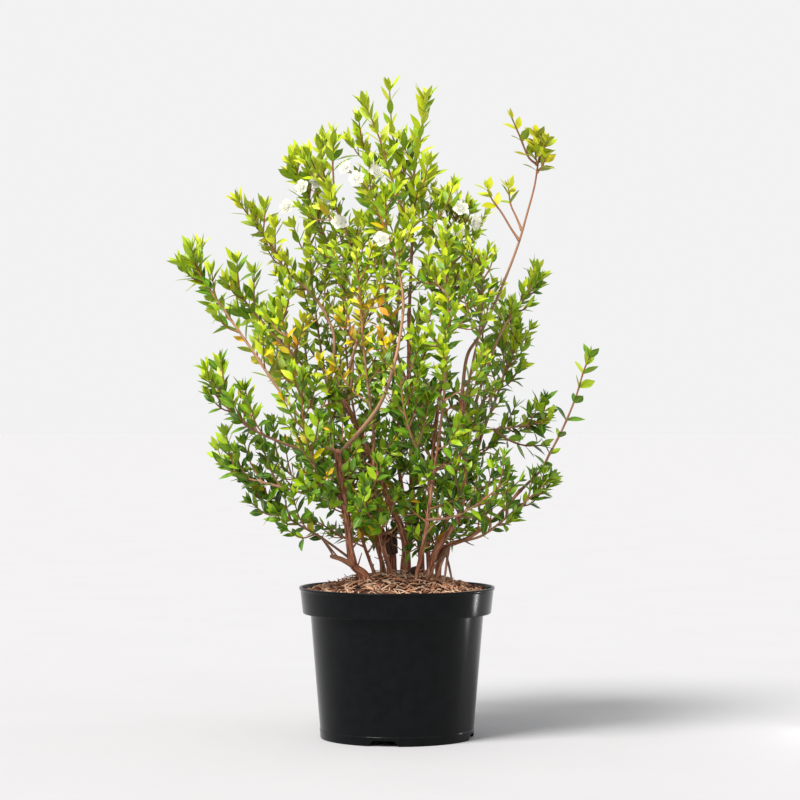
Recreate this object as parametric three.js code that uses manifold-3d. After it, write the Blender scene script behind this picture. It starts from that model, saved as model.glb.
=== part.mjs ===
// A common myrtle grown as a bush in a round black nursery pot. Millimetres, +Z up.
// The origin is the middle of the pot's underside. The bush shows its front to -Y.
import * as THREE from "three";
import { mergeVertices } from "three/addons/utils/BufferGeometryUtils.js";
import Module from "manifold-3d";

const wasm = await Module();
wasm.setup();

// Driving dimensions of the pot
const POT_HEIGHT = 200;
const RIM_RADIUS = 130;
const BASE_RADIUS = 102;
const SHOULDER_RADIUS = 115;
const BAND_HEIGHT = 35;
const BAND_FOOT_RADIUS = 125;
const LIP_HEIGHT = 4;
const LIP_OVERHANG = 1.5;
const WALL = 2;
const FLOOR_LEVEL = 8;
const CENTRE_FOOT_RADIUS = 24;
const POT_SIDES = 32;

// Drain notches in the pot's skirt
const NOTCH_COUNT = 4;
const FIRST_NOTCH_DEG = -100;
const NOTCH_FOOT_WIDTH = 42;
const NOTCH_TOP_WIDTH = 27;
const NOTCH_DEPTH = 20;
const NOTCH_HEIGHT = 7.4;

// Potting mix and the bark mulch on it
const GAP = 0.35;
const MULCH_AT_WALL = 189;
const MULCH_CROWN = 216;
const MULCH_DEPTH = 12;
const MULCH_SIDES = POT_SIDES / 2;
const MULCH_RINGS = [92, 62, 30];
const CHIP_COUNT = 4;

// Wood and leaves
const CANE_SIDES = 6;
const SPUR_SIDES = 4;
const ROD_STEP = 60;
const SPINE_TIP_RADIUS = 0.9;
const AXES_STEPS = 12;
const SHOOT_RADII = [1.1, 0.7];
const FORK_RADII = [1.6, 0.8];
const SHOOT_BARE = 0.12;
const SHOOT_LEAN_DEG = [54, 36];
const SHOOT_LIFT = 0.7;
const SHOOT_LENGTHS = [100, 62];
const KNEE_SHARE = 0.45;
const LEAF_LENGTH = 29;
const LEAF_WIDTH_SHARE = 0.36;
const LEAF_THICKNESS = 1.1;
const LEAF_LEAN_DEG = [58, 16];
const LEAF_TILT_UP = 0.35;
const INTERNODE = 12.5;
const LEAF_ROOT = 1.3;
const SHOOT_ROOT = 2;
const FORK_ROOT = 3;
const FOOT_SHARE = 0.7;
const ROOM = 0.5;
const GOLDEN_ANGLE = 2.39996;
const LIMB_LEAF_STRIDE = 5;
const SHOOT_LEAF_STRIDE = 4;
const SHOOT_STRIDE = 3;
const SHOOT_START = 1;

// Blooms
const PETAL_COUNT = 5;
const COROLLA_RADIUS = 11.5;
const PETAL_NOTCH_SHARE = 0.4;
const PETAL_CUP = 2.2;
const BRUSH_LENGTH = 7.5;
const BRUSH_RADIUS = 4;
const PEDICEL_RADIUS = 0.9;

const MATERIALS = {
  pot: { color: 0x17191b, roughness: 0.42 },
  mix: { color: 0x2e1f16, roughness: 0.95 },
  mulch: { color: 0x8a5a38, roughness: 0.9 },
  bark: { color: 0x80523a, roughness: 0.85 },
  stump: { color: 0x3c2620, roughness: 0.9 },
  leaf: { color: 0x6fa01c, roughness: 0.45 },
  petal: { color: 0xf6f3e6, roughness: 0.6 },
};

// The woody canes that rise from the mix: a path from the root level up, and the radius at each end.
// A cane's spurs are short dead pieces that are part of it.
const CANES = [
  {
    name: "left_cane",
    radii: [6, 3.8],
    path: [[-28, -32, 150], [-40, -38, 212], [-58, -44, 234], [-65, -54, 289], [-71, -62, 328],
      [-77, -70, 380]],
    spurs: [
      { radii: [4, 3], path: [[-52, -42, 226], [-70, -49, 238], [-85, -52, 243]] },
      { radii: [1.4, 1], path: [[-82, -52, 242], [-92, -54, 258], [-104, -55, 273]] },
      { radii: [1.4, 1], path: [[-76, -50, 240], [-88, -62, 256], [-98, -66, 270]] },
    ],
  },
  {
    name: "main_trunk",
    radii: [5.8, 3.5],
    path: [[14, 0, 150], [10, 0, 215], [11, 2, 255], [3, 4, 284], [-8, 6, 308], [-35, 8, 373],
      [-63, 10, 431], [-73, 10, 451]],
  },
  {
    name: "centre_cane",
    radii: [4.9, 2.3],
    path: [[36, 17, 150], [33, 16, 216], [31, 15, 255], [21, 14, 317], [19, 12, 395], [16, 10, 475],
      [16, 8, 560]],
  },
  {
    name: "old_stump",
    material: "stump",
    radii: [4.8, 5.4],
    path: [[-1, 26, 150], [-5, 26, 214], [-7, 26, 247]],
    spurs: [
      { radii: [7.4, 9.6], path: [[-7, 26, 242], [-9, 25, 256], [-10, 24, 267]] },
      { radii: [3.4, 1.2], path: [[-15, 28, 246], [-22, 33, 254], [-26, 37, 262]] },
      { radii: [3.6, 1.1], path: [[-5, 22, 262], [-2, 21, 273], [1, 20, 283]] },
      { radii: [3.2, 1], path: [[-15, 24, 262], [-18, 23, 271], [-20, 22, 279]] },
    ],
  },
  {
    name: "right_cane",
    radii: [4.7, 2.6],
    path: [[38, -26, 150], [43, -26, 216], [50, -26, 246], [64, -28, 268], [82, -30, 296], [90, -31, 341],
      [87, -32, 395], [85, -32, 447]],
  },
  {
    name: "low_right_cane",
    radii: [3.4, 2],
    path: [[60, -6, 150], [54, -8, 214], [60, -10, 250], [97, -20, 267], [135, -26, 297], [161, -30, 327]],
  },
  {
    name: "right_mid_cane",
    radii: [3, 2.1],
    path: [[60, 22, 150], [56, 22, 212], [68, 26, 300], [86, 28, 380], [104, 28, 440]],
  },
  {
    name: "upper_right_cane",
    radii: [3.6, 2.2],
    path: [[46, 2, 150], [43, 1, 216], [41, -2, 260], [43, -4, 315], [50, -4, 400], [60, -4, 480]],
  },
  {
    name: "thin_left_cane",
    radii: [2.6, 1.8],
    path: [[-20, -14, 150], [-28, -16, 210], [-43, -20, 255], [-58, -20, 310], [-82, -16, 372]],
  },
  {
    name: "front_cane",
    radii: [3.8, 2],
    path: [[-2, -22, 150], [-8, -22, 214], [-19, -24, 256], [-27, -30, 300], [-30, -44, 350],
      [-30, -56, 400]],
  },
  {
    name: "thin_back_cane",
    radii: [2.4, 1.7],
    path: [[-20, 8, 150], [-20, 10, 213], [-24, 16, 252], [-34, 34, 310], [-46, 56, 380]],
  },
  {
    name: "back_left_cane",
    radii: [3.4, 2.1],
    path: [[-12, 46, 150], [-16, 50, 210], [-38, 74, 280], [-72, 104, 350], [-100, 128, 420]],
  },
  {
    name: "back_mid_cane",
    radii: [3.4, 2.1],
    path: [[14, 50, 150], [16, 54, 210], [12, 86, 290], [0, 118, 370], [-6, 140, 440]],
  },
  {
    name: "back_right_cane",
    radii: [3.4, 2.1],
    path: [[38, 46, 150], [42, 50, 208], [66, 76, 280], [100, 104, 350], [120, 124, 410]],
  },
  {
    name: "front_right_cane",
    radii: [2.8, 1.8],
    path: [[20, -46, 150], [24, -48, 208], [36, -70, 270], [46, -98, 340], [54, -118, 400]],
  },
];

// The leafy stems. Each leaves a cane at the share `at` of its path and goes on through `path`.
// `bare` is the share of its length below its first leaf, and `shoots` its number of side shoots,
// which stand on the share `shootsTo` of its leafy part. Forks are side branches as strong as the
// stem itself.
const LEAFY_STEMS = [
  { name: "far_left_stem", cane: "left_cane", at: 1, bare: 0.34, shoots: 9, reach: 0.55, radius: 2.5,
    path: [[-100, -72, 393], [-149, -72, 455], [-193, -68, 519], [-236, -60, 580], [-254, -56, 607],
      [-267, -52, 628]] },
  { name: "front_arch_stem", cane: "left_cane", at: 0.985, bare: 0.56, shoots: 6, reach: 0.7, radius: 3,
    path: [[-51, -86, 404], [-24, -96, 439], [-9, -98, 475], [3, -94, 525], [8, -86, 581], [-4, -78, 640],
      [-24, -70, 692], [-44, -62, 734]] },
  { name: "left_mid_stem", cane: "left_cane", at: 0.93, bare: 0.3, shoots: 8, reach: 0.6, radius: 2,
    path: [[-132, -92, 386], [-170, -102, 402], [-198, -102, 418], [-218, -98, 448], [-228, -92, 498]],
    forks: [{ from: 0.68, bare: 0.2, path: [[-220, -108, 440], [-234, -110, 456], [-242, -108, 472]] }] },
  { name: "left_low_stem", cane: "left_cane", at: 0.68, bare: 0.25, shoots: 8, reach: 0.65, radius: 1.9,
    path: [[-124, -88, 328], [-168, -92, 340], [-198, -90, 348], [-222, -86, 362]] },
  { name: "left_lowest_stem", cane: "left_cane", at: 0.42, bare: 0.14, shoots: 8, reach: 0.55, radius: 1.7,
    path: [[-98, -66, 268], [-132, -70, 288], [-156, -68, 306], [-172, -62, 324]] },
  { name: "trunk_left_stem", cane: "main_trunk", at: 1, bare: 0.22, shoots: 7, reach: 0.6, radius: 2.5,
    path: [[-92, 14, 461], [-109, 18, 477], [-139, 22, 508], [-165, 22, 535], [-194, 18, 568],
      [-208, 14, 588], [-216, 12, 602]] },
  { name: "trunk_up_stem", cane: "main_trunk", at: 0.96, bare: 0.3, shoots: 8, reach: 0.5, radius: 2.4,
    path: [[-84, 30, 496], [-86, 40, 540], [-110, 44, 585], [-150, 40, 623], [-166, 36, 650],
      [-184, 30, 680], [-193, 26, 705]] },
  { name: "trunk_right_stem", cane: "main_trunk", at: 0.93, bare: 0.34, shoots: 9, reach: 0.62, radius: 2.4,
    path: [[-62, -4, 493], [-52, -8, 530], [-46, -10, 575], [-56, -10, 634], [-74, -8, 688],
      [-94, -8, 735], [-103, -8, 790]],
    forks: [{ from: 0.78, bare: 0.3, path: [[-84, -16, 738], [-85, -20, 762], [-84, -22, 784]] }] },
  { name: "trunk_top_left_stem", cane: "main_trunk", at: 0.88, bare: 0.4, shoots: 8, reach: 0.42, radius: 2.2,
    path: [[-60, 44, 490], [-66, 62, 560], [-84, 66, 630], [-106, 60, 690], [-124, 54, 732],
      [-143, 48, 768]] },
  { name: "tall_centre_stem", cane: "centre_cane", at: 1, bare: 0.14, shoots: 7, shootsTo: 0.52, reach: 0.5,
    radius: 2.2,
    path: [[19, 8, 627], [21, 6, 704], [23, 4, 752], [28, 2, 782], [35, 0, 822], [38, -2, 848]],
    forks: [
      { from: 0.38, bare: 0.1, path: [[12, 10, 730], [2, 12, 768], [-6, 12, 802], [-10, 10, 862]] },
      { from: 0.3, bare: 0.2, path: [[8, -10, 700], [-10, -18, 750], [-24, -22, 796], [-42, -24, 838]] },
      { from: 0.34, bare: 0.3, path: [[30, -8, 722], [37, -12, 740], [40, -14, 758]] },
    ] },
  { name: "centre_left_stem", cane: "centre_cane", at: 0.8, bare: 0.3, shoots: 7, reach: 0.55, radius: 2,
    path: [[-2, 30, 520], [-14, 44, 580], [-20, 48, 650], [-27, 42, 720], [-38, 36, 772], [-50, 32, 800]] },
  { name: "right_tall_stem", cane: "right_cane", at: 1, bare: 0.8, shoots: 4, reach: 0.36, radius: 2.4,
    path: [[92, -32, 504], [108, -32, 532], [128, -32, 573], [147, -34, 619], [161, -34, 657],
      [171, -34, 692], [181, -34, 729], [186, -33, 760], [191, -32, 786]],
    forks: [
      { from: 0.88, bare: 0.1, path: [[173, -36, 768], [162, -38, 794], [151, -40, 819]] },
      { from: 0.56, bare: 0.42, path: [[150, -36, 674], [138, -38, 694], [126, -40, 710], [119, -42, 724]] },
      { from: 0.6, bare: 0.5, path: [[157, -31, 690], [150, -28, 706], [147, -26, 728]] },
    ] },
  { name: "right_upper_stem", cane: "right_cane", at: 0.93, bare: 0.3, shoots: 8, reach: 0.46, radius: 1.9,
    path: [[98, -50, 490], [108, -60, 540], [112, -62, 588], [110, -60, 616], [106, -56, 638]] },
  { name: "right_long_stem", cane: "low_right_cane", at: 1, bare: 0.08, shoots: 0, reach: 0.5, radius: 1.9,
    path: [[189, -32, 355], [201, -34, 377], [219, -36, 412], [235, -38, 451], [245, -38, 484],
      [253, -38, 505]] },
  { name: "right_low_stem", cane: "low_right_cane", at: 0.5, bare: 0.16, shoots: 7, reach: 0.42, radius: 1.8,
    path: [[112, -42, 270], [148, -54, 298], [176, -58, 322], [200, -58, 346]] },
  { name: "right_mid_stem", cane: "right_mid_cane", at: 1, bare: 0.3, shoots: 7, reach: 0.28, radius: 2,
    path: [[120, 28, 488], [139, 26, 537], [160, 24, 569], [174, 22, 588], [185, 20, 604],
      [189, 18, 624]] },
  { name: "right_edge_stem", cane: "right_mid_cane", at: 0.86, bare: 0.22, shoots: 7, reach: 0.4,
    radius: 1.9,
    path: [[124, 8, 408], [154, -2, 412], [180, -8, 416], [202, -12, 430]],
    forks: [{ from: 0.3, bare: 0.12, path: [[146, -14, 396], [168, -22, 388], [190, -26, 388]] }] },
  { name: "right_back_stem", cane: "right_mid_cane", at: 0.8, bare: 0.25, shoots: 7, reach: 0.5, radius: 1.9,
    path: [[120, 52, 440], [142, 60, 476], [154, 60, 512], [162, 56, 540]] },
  { name: "upper_right_stem", cane: "upper_right_cane", at: 1, bare: 0.25, shoots: 9, reach: 0.55,
    radius: 2.1,
    path: [[64, -8, 540], [66, -12, 594], [71, -14, 641], [77, -14, 677], [80, -14, 698]],
    forks: [{ from: 0.6, bare: 0.3, path: [[62, -24, 660], [56, -28, 684], [54, -28, 706]] }] },
  { name: "upper_back_stem", cane: "upper_right_cane", at: 0.85, bare: 0.3, shoots: 7, reach: 0.65,
    radius: 1.9,
    path: [[64, 22, 500], [72, 44, 560], [74, 52, 620], [70, 52, 676]] },
  { name: "left_centre_stem", cane: "thin_left_cane", at: 1, bare: 0.15, shoots: 8, reach: 0.7, radius: 1.8,
    path: [[-104, -24, 422], [-130, -30, 480], [-148, -30, 540], [-154, -26, 586]] },
  { name: "left_front_stem", cane: "thin_left_cane", at: 0.7, bare: 0.2, shoots: 8, reach: 0.7, radius: 1.7,
    path: [[-84, -44, 328], [-100, -82, 340], [-108, -118, 372], [-120, -134, 424], [-120, -134, 480]] },
  { name: "front_centre_stem", cane: "front_cane", at: 1, bare: 0.12, shoots: 9, reach: 0.75, radius: 1.9,
    path: [[-36, -62, 450], [-44, -62, 520], [-48, -58, 580], [-54, -50, 640]] },
  { name: "front_low_stem", cane: "front_cane", at: 0.5, bare: 0.15, shoots: 4, reach: 0.65, radius: 1.7,
    path: [[-30, -70, 288], [-38, -108, 308], [-42, -134, 344]] },
  { name: "front_right_stem", cane: "front_right_cane", at: 1, bare: 0.12, shoots: 9, reach: 0.75,
    radius: 1.8,
    path: [[60, -122, 450], [64, -120, 510], [66, -106, 570], [62, -92, 622]] },
  { name: "front_right_low_stem", cane: "front_right_cane", at: 0.58, bare: 0.16, shoots: 7, reach: 0.65,
    radius: 1.8,
    path: [[74, -106, 298], [108, -124, 318], [142, -128, 346]] },
  { name: "front_mid_stem", cane: "front_right_cane", at: 0.8, bare: 0.18, shoots: 7, reach: 0.7, radius: 1.7,
    path: [[26, -122, 384], [10, -140, 432], [4, -144, 482]] },
  { name: "back_inner_stem", cane: "thin_back_cane", at: 1, bare: 0.12, shoots: 9, reach: 0.75, radius: 1.7,
    path: [[-60, 76, 440], [-70, 90, 520], [-72, 96, 600], [-64, 96, 670]] },
  { name: "back_left_out_stem", cane: "back_left_cane", at: 1, bare: 0.12, shoots: 9, reach: 0.75,
    radius: 2,
    path: [[-130, 150, 460], [-156, 166, 510], [-172, 172, 560]] },
  { name: "back_left_top_stem", cane: "back_left_cane", at: 0.88, bare: 0.2, shoots: 9, reach: 0.75,
    radius: 1.9,
    path: [[-96, 112, 462], [-108, 112, 540], [-118, 106, 620], [-120, 98, 682]] },
  { name: "back_left_low_stem", cane: "back_left_cane", at: 0.6, bare: 0.25, shoots: 7, reach: 0.7,
    radius: 1.8,
    path: [[-106, 92, 320], [-146, 104, 346], [-180, 108, 384]] },
  { name: "back_mid_top_stem", cane: "back_mid_cane", at: 1, bare: 0.12, shoots: 9, reach: 0.75, radius: 2,
    path: [[-4, 148, 510], [2, 150, 590], [8, 140, 664], [10, 124, 730]] },
  { name: "back_mid_out_stem", cane: "back_mid_cane", at: 0.75, bare: 0.2, shoots: 4, reach: 0.7,
    radius: 1.9,
    path: [[22, 158, 390], [34, 190, 436], [38, 210, 486]] },
  { name: "back_mid_low_stem", cane: "back_mid_cane", at: 0.55, bare: 0.25, shoots: 4, reach: 0.7,
    radius: 1.8,
    path: [[-22, 128, 318], [-42, 162, 340], [-52, 190, 376]] },
  { name: "back_right_stem", cane: "back_right_cane", at: 1, bare: 0.12, shoots: 9, reach: 0.75, radius: 2,
    path: [[140, 142, 458], [156, 154, 510], [164, 158, 560]],
    forks: [{ from: 0.2, bare: 0.3, path: [[120, 120, 500], [116, 112, 560], [106, 102, 630]] }] },
];

// White blooms in ones, twos and threes: the stem that carries them, how far along it,
// and for each bloom its heart and the way it faces.
const BLOOMS = [
  { name: "bloom_trio_left", stem: "trunk_top_left_stem", at: 0.84,
    heads: [[[-108, 30, 742], [0.3, -0.9, 0.3]], [[-127, 26, 733], [-0.5, -0.8, 0.3]],
      [[-96, 34, 722], [0.6, -0.8, -0.1]]] },
  { name: "bloom_left", stem: "trunk_top_left_stem", at: 0.74,
    heads: [[[-148, 42, 708], [-0.4, -0.8, 0.4]]] },
  { name: "bloom_mid_left", stem: "trunk_right_stem", at: 0.68,
    heads: [[[-76, -32, 682], [-0.1, -0.9, 0.4]]] },
  { name: "bloom_centre", stem: "front_arch_stem", at: 0.8,
    heads: [[[-20, -92, 656], [0.1, -0.9, 0.4]]] },
  { name: "bloom_trio_top", stem: "front_arch_stem", at: 0.965,
    heads: [[[-66, -78, 750], [-0.7, -0.6, 0.5]], [[-52, -88, 735], [-0.2, -0.9, 0.4]],
      [[-28, -80, 744], [0.6, -0.7, 0.4]]] },
  { name: "bloom_pair_right", stem: "upper_right_stem", at: 0.78,
    heads: [[[58, -38, 674], [-0.6, -0.8, 0.1]], [[79, -44, 671], [0.2, -1, 0.1]]] },
  { name: "bloom_pair_far_right", stem: "upper_right_stem", at: 0.93,
    heads: [[[84, -38, 699], [0.1, -0.9, 0.5]], [[102, -34, 682], [0.8, -0.6, -0.1]]] },
];

const UP = new THREE.Vector3(0, 0, 1);
const BACK = new THREE.Vector3(0, 1, 0);

const vector = (triple) => new THREE.Vector3(...triple);
const mix = THREE.MathUtils.lerp;
const radians = THREE.MathUtils.degToRad;

// A seeded draw from 0 to 1: the same number for the same seed each time.
function draw(seed) {
  const noise = Math.sin(seed * 12.9898 + 78.233) * 43758.5453;
  return noise - Math.floor(noise);
}

// A closed manifold solid from a three.js geometry, with shared vertices merged.
function solidFrom(geometry) {
  const source = geometry.index ? geometry.toNonIndexed() : geometry;
  const plain = new THREE.BufferGeometry().setAttribute("position", source.getAttribute("position"));
  const merged = mergeVertices(plain, 1e-4);
  const corners = merged.index.array;
  const kept = [];
  for (let i = 0; i < corners.length; i += 3) {
    const [a, b, c] = corners.slice(i, i + 3);
    if (a !== b && b !== c && c !== a) kept.push(a, b, c);
  }
  const vertProperties = Float32Array.from(merged.getAttribute("position").array);
  return new wasm.Manifold(new wasm.Mesh({ numProp: 3, vertProperties, triVerts: Uint32Array.from(kept) }));
}

function geometryFrom(solid) {
  const mesh = solid.getMesh();
  const geometry = new THREE.BufferGeometry();
  geometry.setAttribute("position", new THREE.BufferAttribute(Float32Array.from(mesh.vertProperties), 3));
  geometry.setIndex(new THREE.BufferAttribute(Uint32Array.from(mesh.triVerts), 1));
  geometry.computeVertexNormals();
  return geometry;
}

// A solid of indexed corners, turned so that its faces point out.
function solidOfFaces(corners, faces) {
  const geometry = new THREE.BufferGeometry().setFromPoints(corners);
  geometry.setIndex(faces.flat());
  const solid = solidFrom(geometry);
  if (solid.volume() > 0) return solid;
  geometry.setIndex(faces.map(([a, b, c]) => [a, c, b]).flat());
  return solidFrom(geometry);
}

const largestPiece = (solid) => solid.decompose().sort((a, b) => b.volume() - a.volume())[0];

// A surface grown ring by ring. Every ring runs the same way round the direction of growth.
class Skin {
  corners = [];
  faces = [];

  ring(points) {
    const start = this.corners.length;
    this.corners.push(...points);
    return points.map((_, i) => start + i);
  }

  // The faces between two rings with as many corners each, without the sides listed as open.
  wall(low, high, open = []) {
    for (let side = 0; side < low.length; side++) {
      const next = (side + 1) % low.length;
      if (open.includes(side)) continue;
      this.faces.push([low[side], low[next], high[next]], [low[side], high[next], high[side]]);
    }
  }

  fan(centre, ring) {
    ring.forEach((corner, i) => this.faces.push([centre, corner, ring[(i + 1) % ring.length]]));
  }

  cap([first, ...rest]) {
    for (let i = 1; i < rest.length; i++) this.faces.push([first, rest[i - 1], rest[i]]);
  }

  // A leaf out of the opening at one side between two rings.
  leaf([a, b, c, d], { rim, top, under }) {
    const edge = this.ring(rim);
    const [middle, keel] = this.ring([top, under]);
    this.fan(middle, [d, ...edge, c]);
    this.fan(keel, [a, ...edge, b].reverse());
    this.faces.push([edge[0], d, a], [c, edge[4], b]);
  }

  solid() {
    return solidOfFaces(this.corners, this.faces);
  }
}

// A closed shape with a sharp rim and one point on each side of it.
function lens(rim, top, under) {
  const skin = new Skin();
  const ring = skin.ring(rim);
  const [over, below] = skin.ring([top, under]);
  skin.fan(over, ring);
  skin.fan(below, [...ring].reverse());
  return skin.solid();
}

const curveThrough = (points) => new THREE.CatmullRomCurve3(points, false, "catmullrom", 0.5);
const pointOn = (points, share) => curveThrough(points).getPoint(share);

function headingOn(points, share) {
  const ahead = pointOn(points, Math.min(1, share + 0.01));
  return ahead.sub(pointOn(points, Math.max(0, share - 0.01))).normalize();
}

function lengthOf(points) {
  const samples = 24;
  let total = 0;
  for (let i = 0; i < samples; i++) {
    total += pointOn(points, i / samples).distanceTo(pointOn(points, (i + 1) / samples));
  }
  return total;
}

// The direction at right angles to `along`, turned by `turn` round it.
function aside(along, turn) {
  const level = new THREE.Vector3().crossVectors(along, Math.abs(along.z) > 0.95 ? BACK : UP).normalize();
  const other = new THREE.Vector3().crossVectors(along, level);
  return level.multiplyScalar(Math.cos(turn)).addScaledVector(other, Math.sin(turn));
}

// A closed round-sectioned tube along a curve, with its own radius at each end.
function taperedTube(points, startRadius, endRadius, sides, steps) {
  const curve = curveThrough(points);
  const frames = curve.computeFrenetFrames(steps, false);
  const skin = new Skin();
  let last = null;
  for (let i = 0; i <= steps; i++) {
    const centre = curve.getPointAt(i / steps);
    const radius = mix(startRadius, endRadius, i / steps);
    const ring = skin.ring(
      Array.from({ length: sides }, (_, side) => {
        const turn = (2 * Math.PI * side) / sides;
        return centre.clone()
          .addScaledVector(frames.normals[i], radius * Math.cos(turn))
          .addScaledVector(frames.binormals[i], radius * Math.sin(turn));
      }),
    );
    if (last) skin.wall(last, ring);
    else skin.cap([...ring].reverse());
    last = ring;
  }
  skin.cap(last);
  return skin.solid();
}

// A woody rod of a leafy stem is square in section. Its axes at a share of its path are carried
// along it without twist: `along` points to the tip, `across` and `over` stand square to that.
function axesAt(rod, share) {
  const across = rod.across.clone();
  const along = new THREE.Vector3();
  for (let i = 0; i <= AXES_STEPS; i++) {
    along.copy(headingOn(rod.points, (share * i) / AXES_STEPS));
    across.addScaledVector(along, -across.dot(along)).normalize();
  }
  const over = new THREE.Vector3().crossVectors(along, across);
  return { centre: pointOn(rod.points, share), along, across, over };
}

// The way out of one of a rod's four sides, a quarter turn apart.
function wayOut({ across, over }, side) {
  const turn = ((side - 1) * Math.PI) / 2;
  return across.clone().multiplyScalar(Math.cos(turn)).addScaledVector(over, Math.sin(turn));
}

const radiusAt = (rod, share) => mix(rod.radii[0], rod.radii[1], share);

// The place on one of a rod's sides where something grows from it.
const footOn = (rod, axes, side, share) =>
  axes.centre.clone().addScaledVector(wayOut(axes, side), FOOT_SHARE * radiusAt(rod, share));

function squareRing(rod, share, shift = 0) {
  const axes = axesAt(rod, share);
  return [0, 1, 2, 3].map((corner) =>
    axes.centre.clone()
      .addScaledVector(axes.along, shift)
      .addScaledVector(wayOut(axes, corner - 0.5), radiusAt(rod, share)),
  );
}

// The places along a rod where leaves stand in opposite pairs, each pair a quarter turn from the last.
function nodesOf(rod) {
  const count = Math.max(2, Math.floor((lengthOf(rod.points) * (1 - rod.bare)) / INTERNODE));
  return Array.from({ length: count }, (_, index) => ({
    index,
    toTip: count - 1 - index,
    tipward: (index + 1) / count,
    share: Math.min(0.99, mix(rod.bare, 1, (index + 1) / count)),
    sides: [index % 2, (index % 2) + 2],
    half: LEAF_ROOT / 2,
    shoots: [],
    grown: [],
  }));
}

const keptNodes = (rod, stride) => nodesOf(rod).filter(({ toTip }) => toTip % stride === 0);

// The leaf at one side of a node. Leaves stand closer to the rod and get smaller towards its tip.
function leafAt(rod, node, side) {
  const axes = axesAt(rod, node.share);
  const luck = draw(rod.seed + 7 * node.index + 3 * side);
  const out = wayOut(axes, side + 0.5 * (draw(rod.seed + 5 * node.index + side) - 0.5));
  const spread = radians(mix(...LEAF_LEAN_DEG, node.tipward ** 2) + 16 * (luck - 0.5));
  const heading = axes.along.clone().multiplyScalar(Math.cos(spread)).addScaledVector(out, Math.sin(spread));
  const face = axes.along.clone().multiplyScalar(Math.sin(spread)).addScaledVector(out, -Math.cos(spread));
  face.lerp(UP, LEAF_TILT_UP).addScaledVector(heading, -face.dot(heading)).normalize();
  const length = LEAF_LENGTH * mix(1, 0.6, node.tipward ** 3) * mix(0.78, 1.16, luck);
  const root = footOn(rod, axes, side, node.share);
  return { root, heading, face, length, width: length * LEAF_WIDTH_SHARE };
}

// A leaf's outline from its root round the tip, and the points over and under its middle.
function leafShape({ root, heading, face, length, width }, thickness) {
  const across = new THREE.Vector3().crossVectors(face, heading).normalize();
  const at = (along, out, lift) =>
    root.clone()
      .addScaledVector(heading, along * length)
      .addScaledVector(across, out * width)
      .addScaledVector(face, lift);
  const fold = 0.1 * width;
  const droop = -0.07 * length;
  return {
    rim: [
      at(0.28, -0.44, fold), at(0.66, -0.38, fold + droop * 0.4), at(1, 0, droop),
      at(0.66, 0.38, fold + droop * 0.4), at(0.28, 0.44, fold),
    ],
    top: at(0.45, 0, thickness / 2),
    under: at(0.45, 0, -thickness / 2),
  };
}

// A rod that grows from one side of another, where its foot is.
function branch(rod, node, side, pathFrom, { radii, bare, seed, stride }) {
  const axes = axesAt(rod, node.share);
  const foot = footOn(rod, axes, side, node.share);
  const across = new THREE.Vector3().crossVectors(axes.along, wayOut(axes, side));
  const grown = { points: pathFrom(foot, axes), across, radii, bare, seed };
  grown.nodes = keptNodes(grown, stride);
  return { side, rod: grown };
}

// A side shoot leaves its rod at a slant and bends up towards the light.
function shootFrom(rod, node, number, reach) {
  const side = node.sides[number % 2];
  const pathFrom = (foot, axes) => {
    const lean = radians(mix(...SHOOT_LEAN_DEG, node.share));
    const out = wayOut(axes, side + 0.5 * (draw(rod.seed + 13 * number) - 0.5));
    const heading = axes.along.clone().multiplyScalar(Math.cos(lean)).addScaledVector(out, Math.sin(lean));
    const lifted = heading.clone().addScaledVector(UP, SHOOT_LIFT).normalize();
    const length = reach * mix(...SHOOT_LENGTHS, node.share) * mix(0.75, 1.15, draw(rod.seed + number));
    const knee = foot.clone().addScaledVector(heading, length * KNEE_SHARE);
    return [foot, knee, knee.clone().addScaledVector(lifted, length * (1 - KNEE_SHARE))];
  };
  const seed = rod.seed + 31 * (number + 1);
  const form = { radii: SHOOT_RADII, bare: SHOOT_BARE, seed, stride: SHOOT_LEAF_STRIDE };
  return branch(rod, node, side, pathFrom, form);
}

// A fork of a rod has a path of its own, from the side that faces the path's first point.
function forkFrom(rod, node, fork, number) {
  const axes = axesAt(rod, node.share);
  const bend = vector(fork.path[0]).sub(axes.centre);
  const side = [0, 1, 2, 3].sort((a, b) => wayOut(axes, b).dot(bend) - wayOut(axes, a).dot(bend))[0];
  const seed = rod.seed + 17 * (number + 1);
  const pathFrom = (foot) => [foot, ...fork.path.map(vector)];
  const form = { radii: FORK_RADII, bare: fork.bare, seed, stride: LIMB_LEAF_STRIDE };
  return branch(rod, node, side, pathFrom, form);
}

// Grows a rod on the skin: its rings from `foot` on, and whatever stands on its nodes.
function growRod(skin, rod, foot) {
  let last = foot ?? skin.ring(squareRing(rod, 0));
  if (!foot) skin.cap([...last].reverse());
  const length = lengthOf(rod.points);
  let reached = 0;
  for (const node of rod.nodes) {
    const steps = Math.ceil(((node.share - reached) * length) / ROD_STEP);
    for (let i = 1; i < steps; i++) {
      const ring = skin.ring(squareRing(rod, mix(reached, node.share, i / steps)));
      skin.wall(last, ring);
      last = ring;
    }
    const low = skin.ring(squareRing(rod, node.share, -node.half));
    const high = skin.ring(squareRing(rod, node.share, node.half));
    skin.wall(last, low);
    skin.wall(low, high, node.grown.map(({ side }) => side));
    for (const { side, leaf, rod: shoot } of node.grown) {
      const next = (side + 1) % 4;
      const opening = [low[side], low[next], high[next], high[side]];
      if (leaf) skin.leaf(opening, leafShape(leaf, LEAF_THICKNESS));
      else growRod(skin, shoot, opening);
    }
    last = high;
    reached = node.share;
  }
  skin.cap(last);
}

const canePath = (cane) => cane.path.map(vector);

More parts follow.
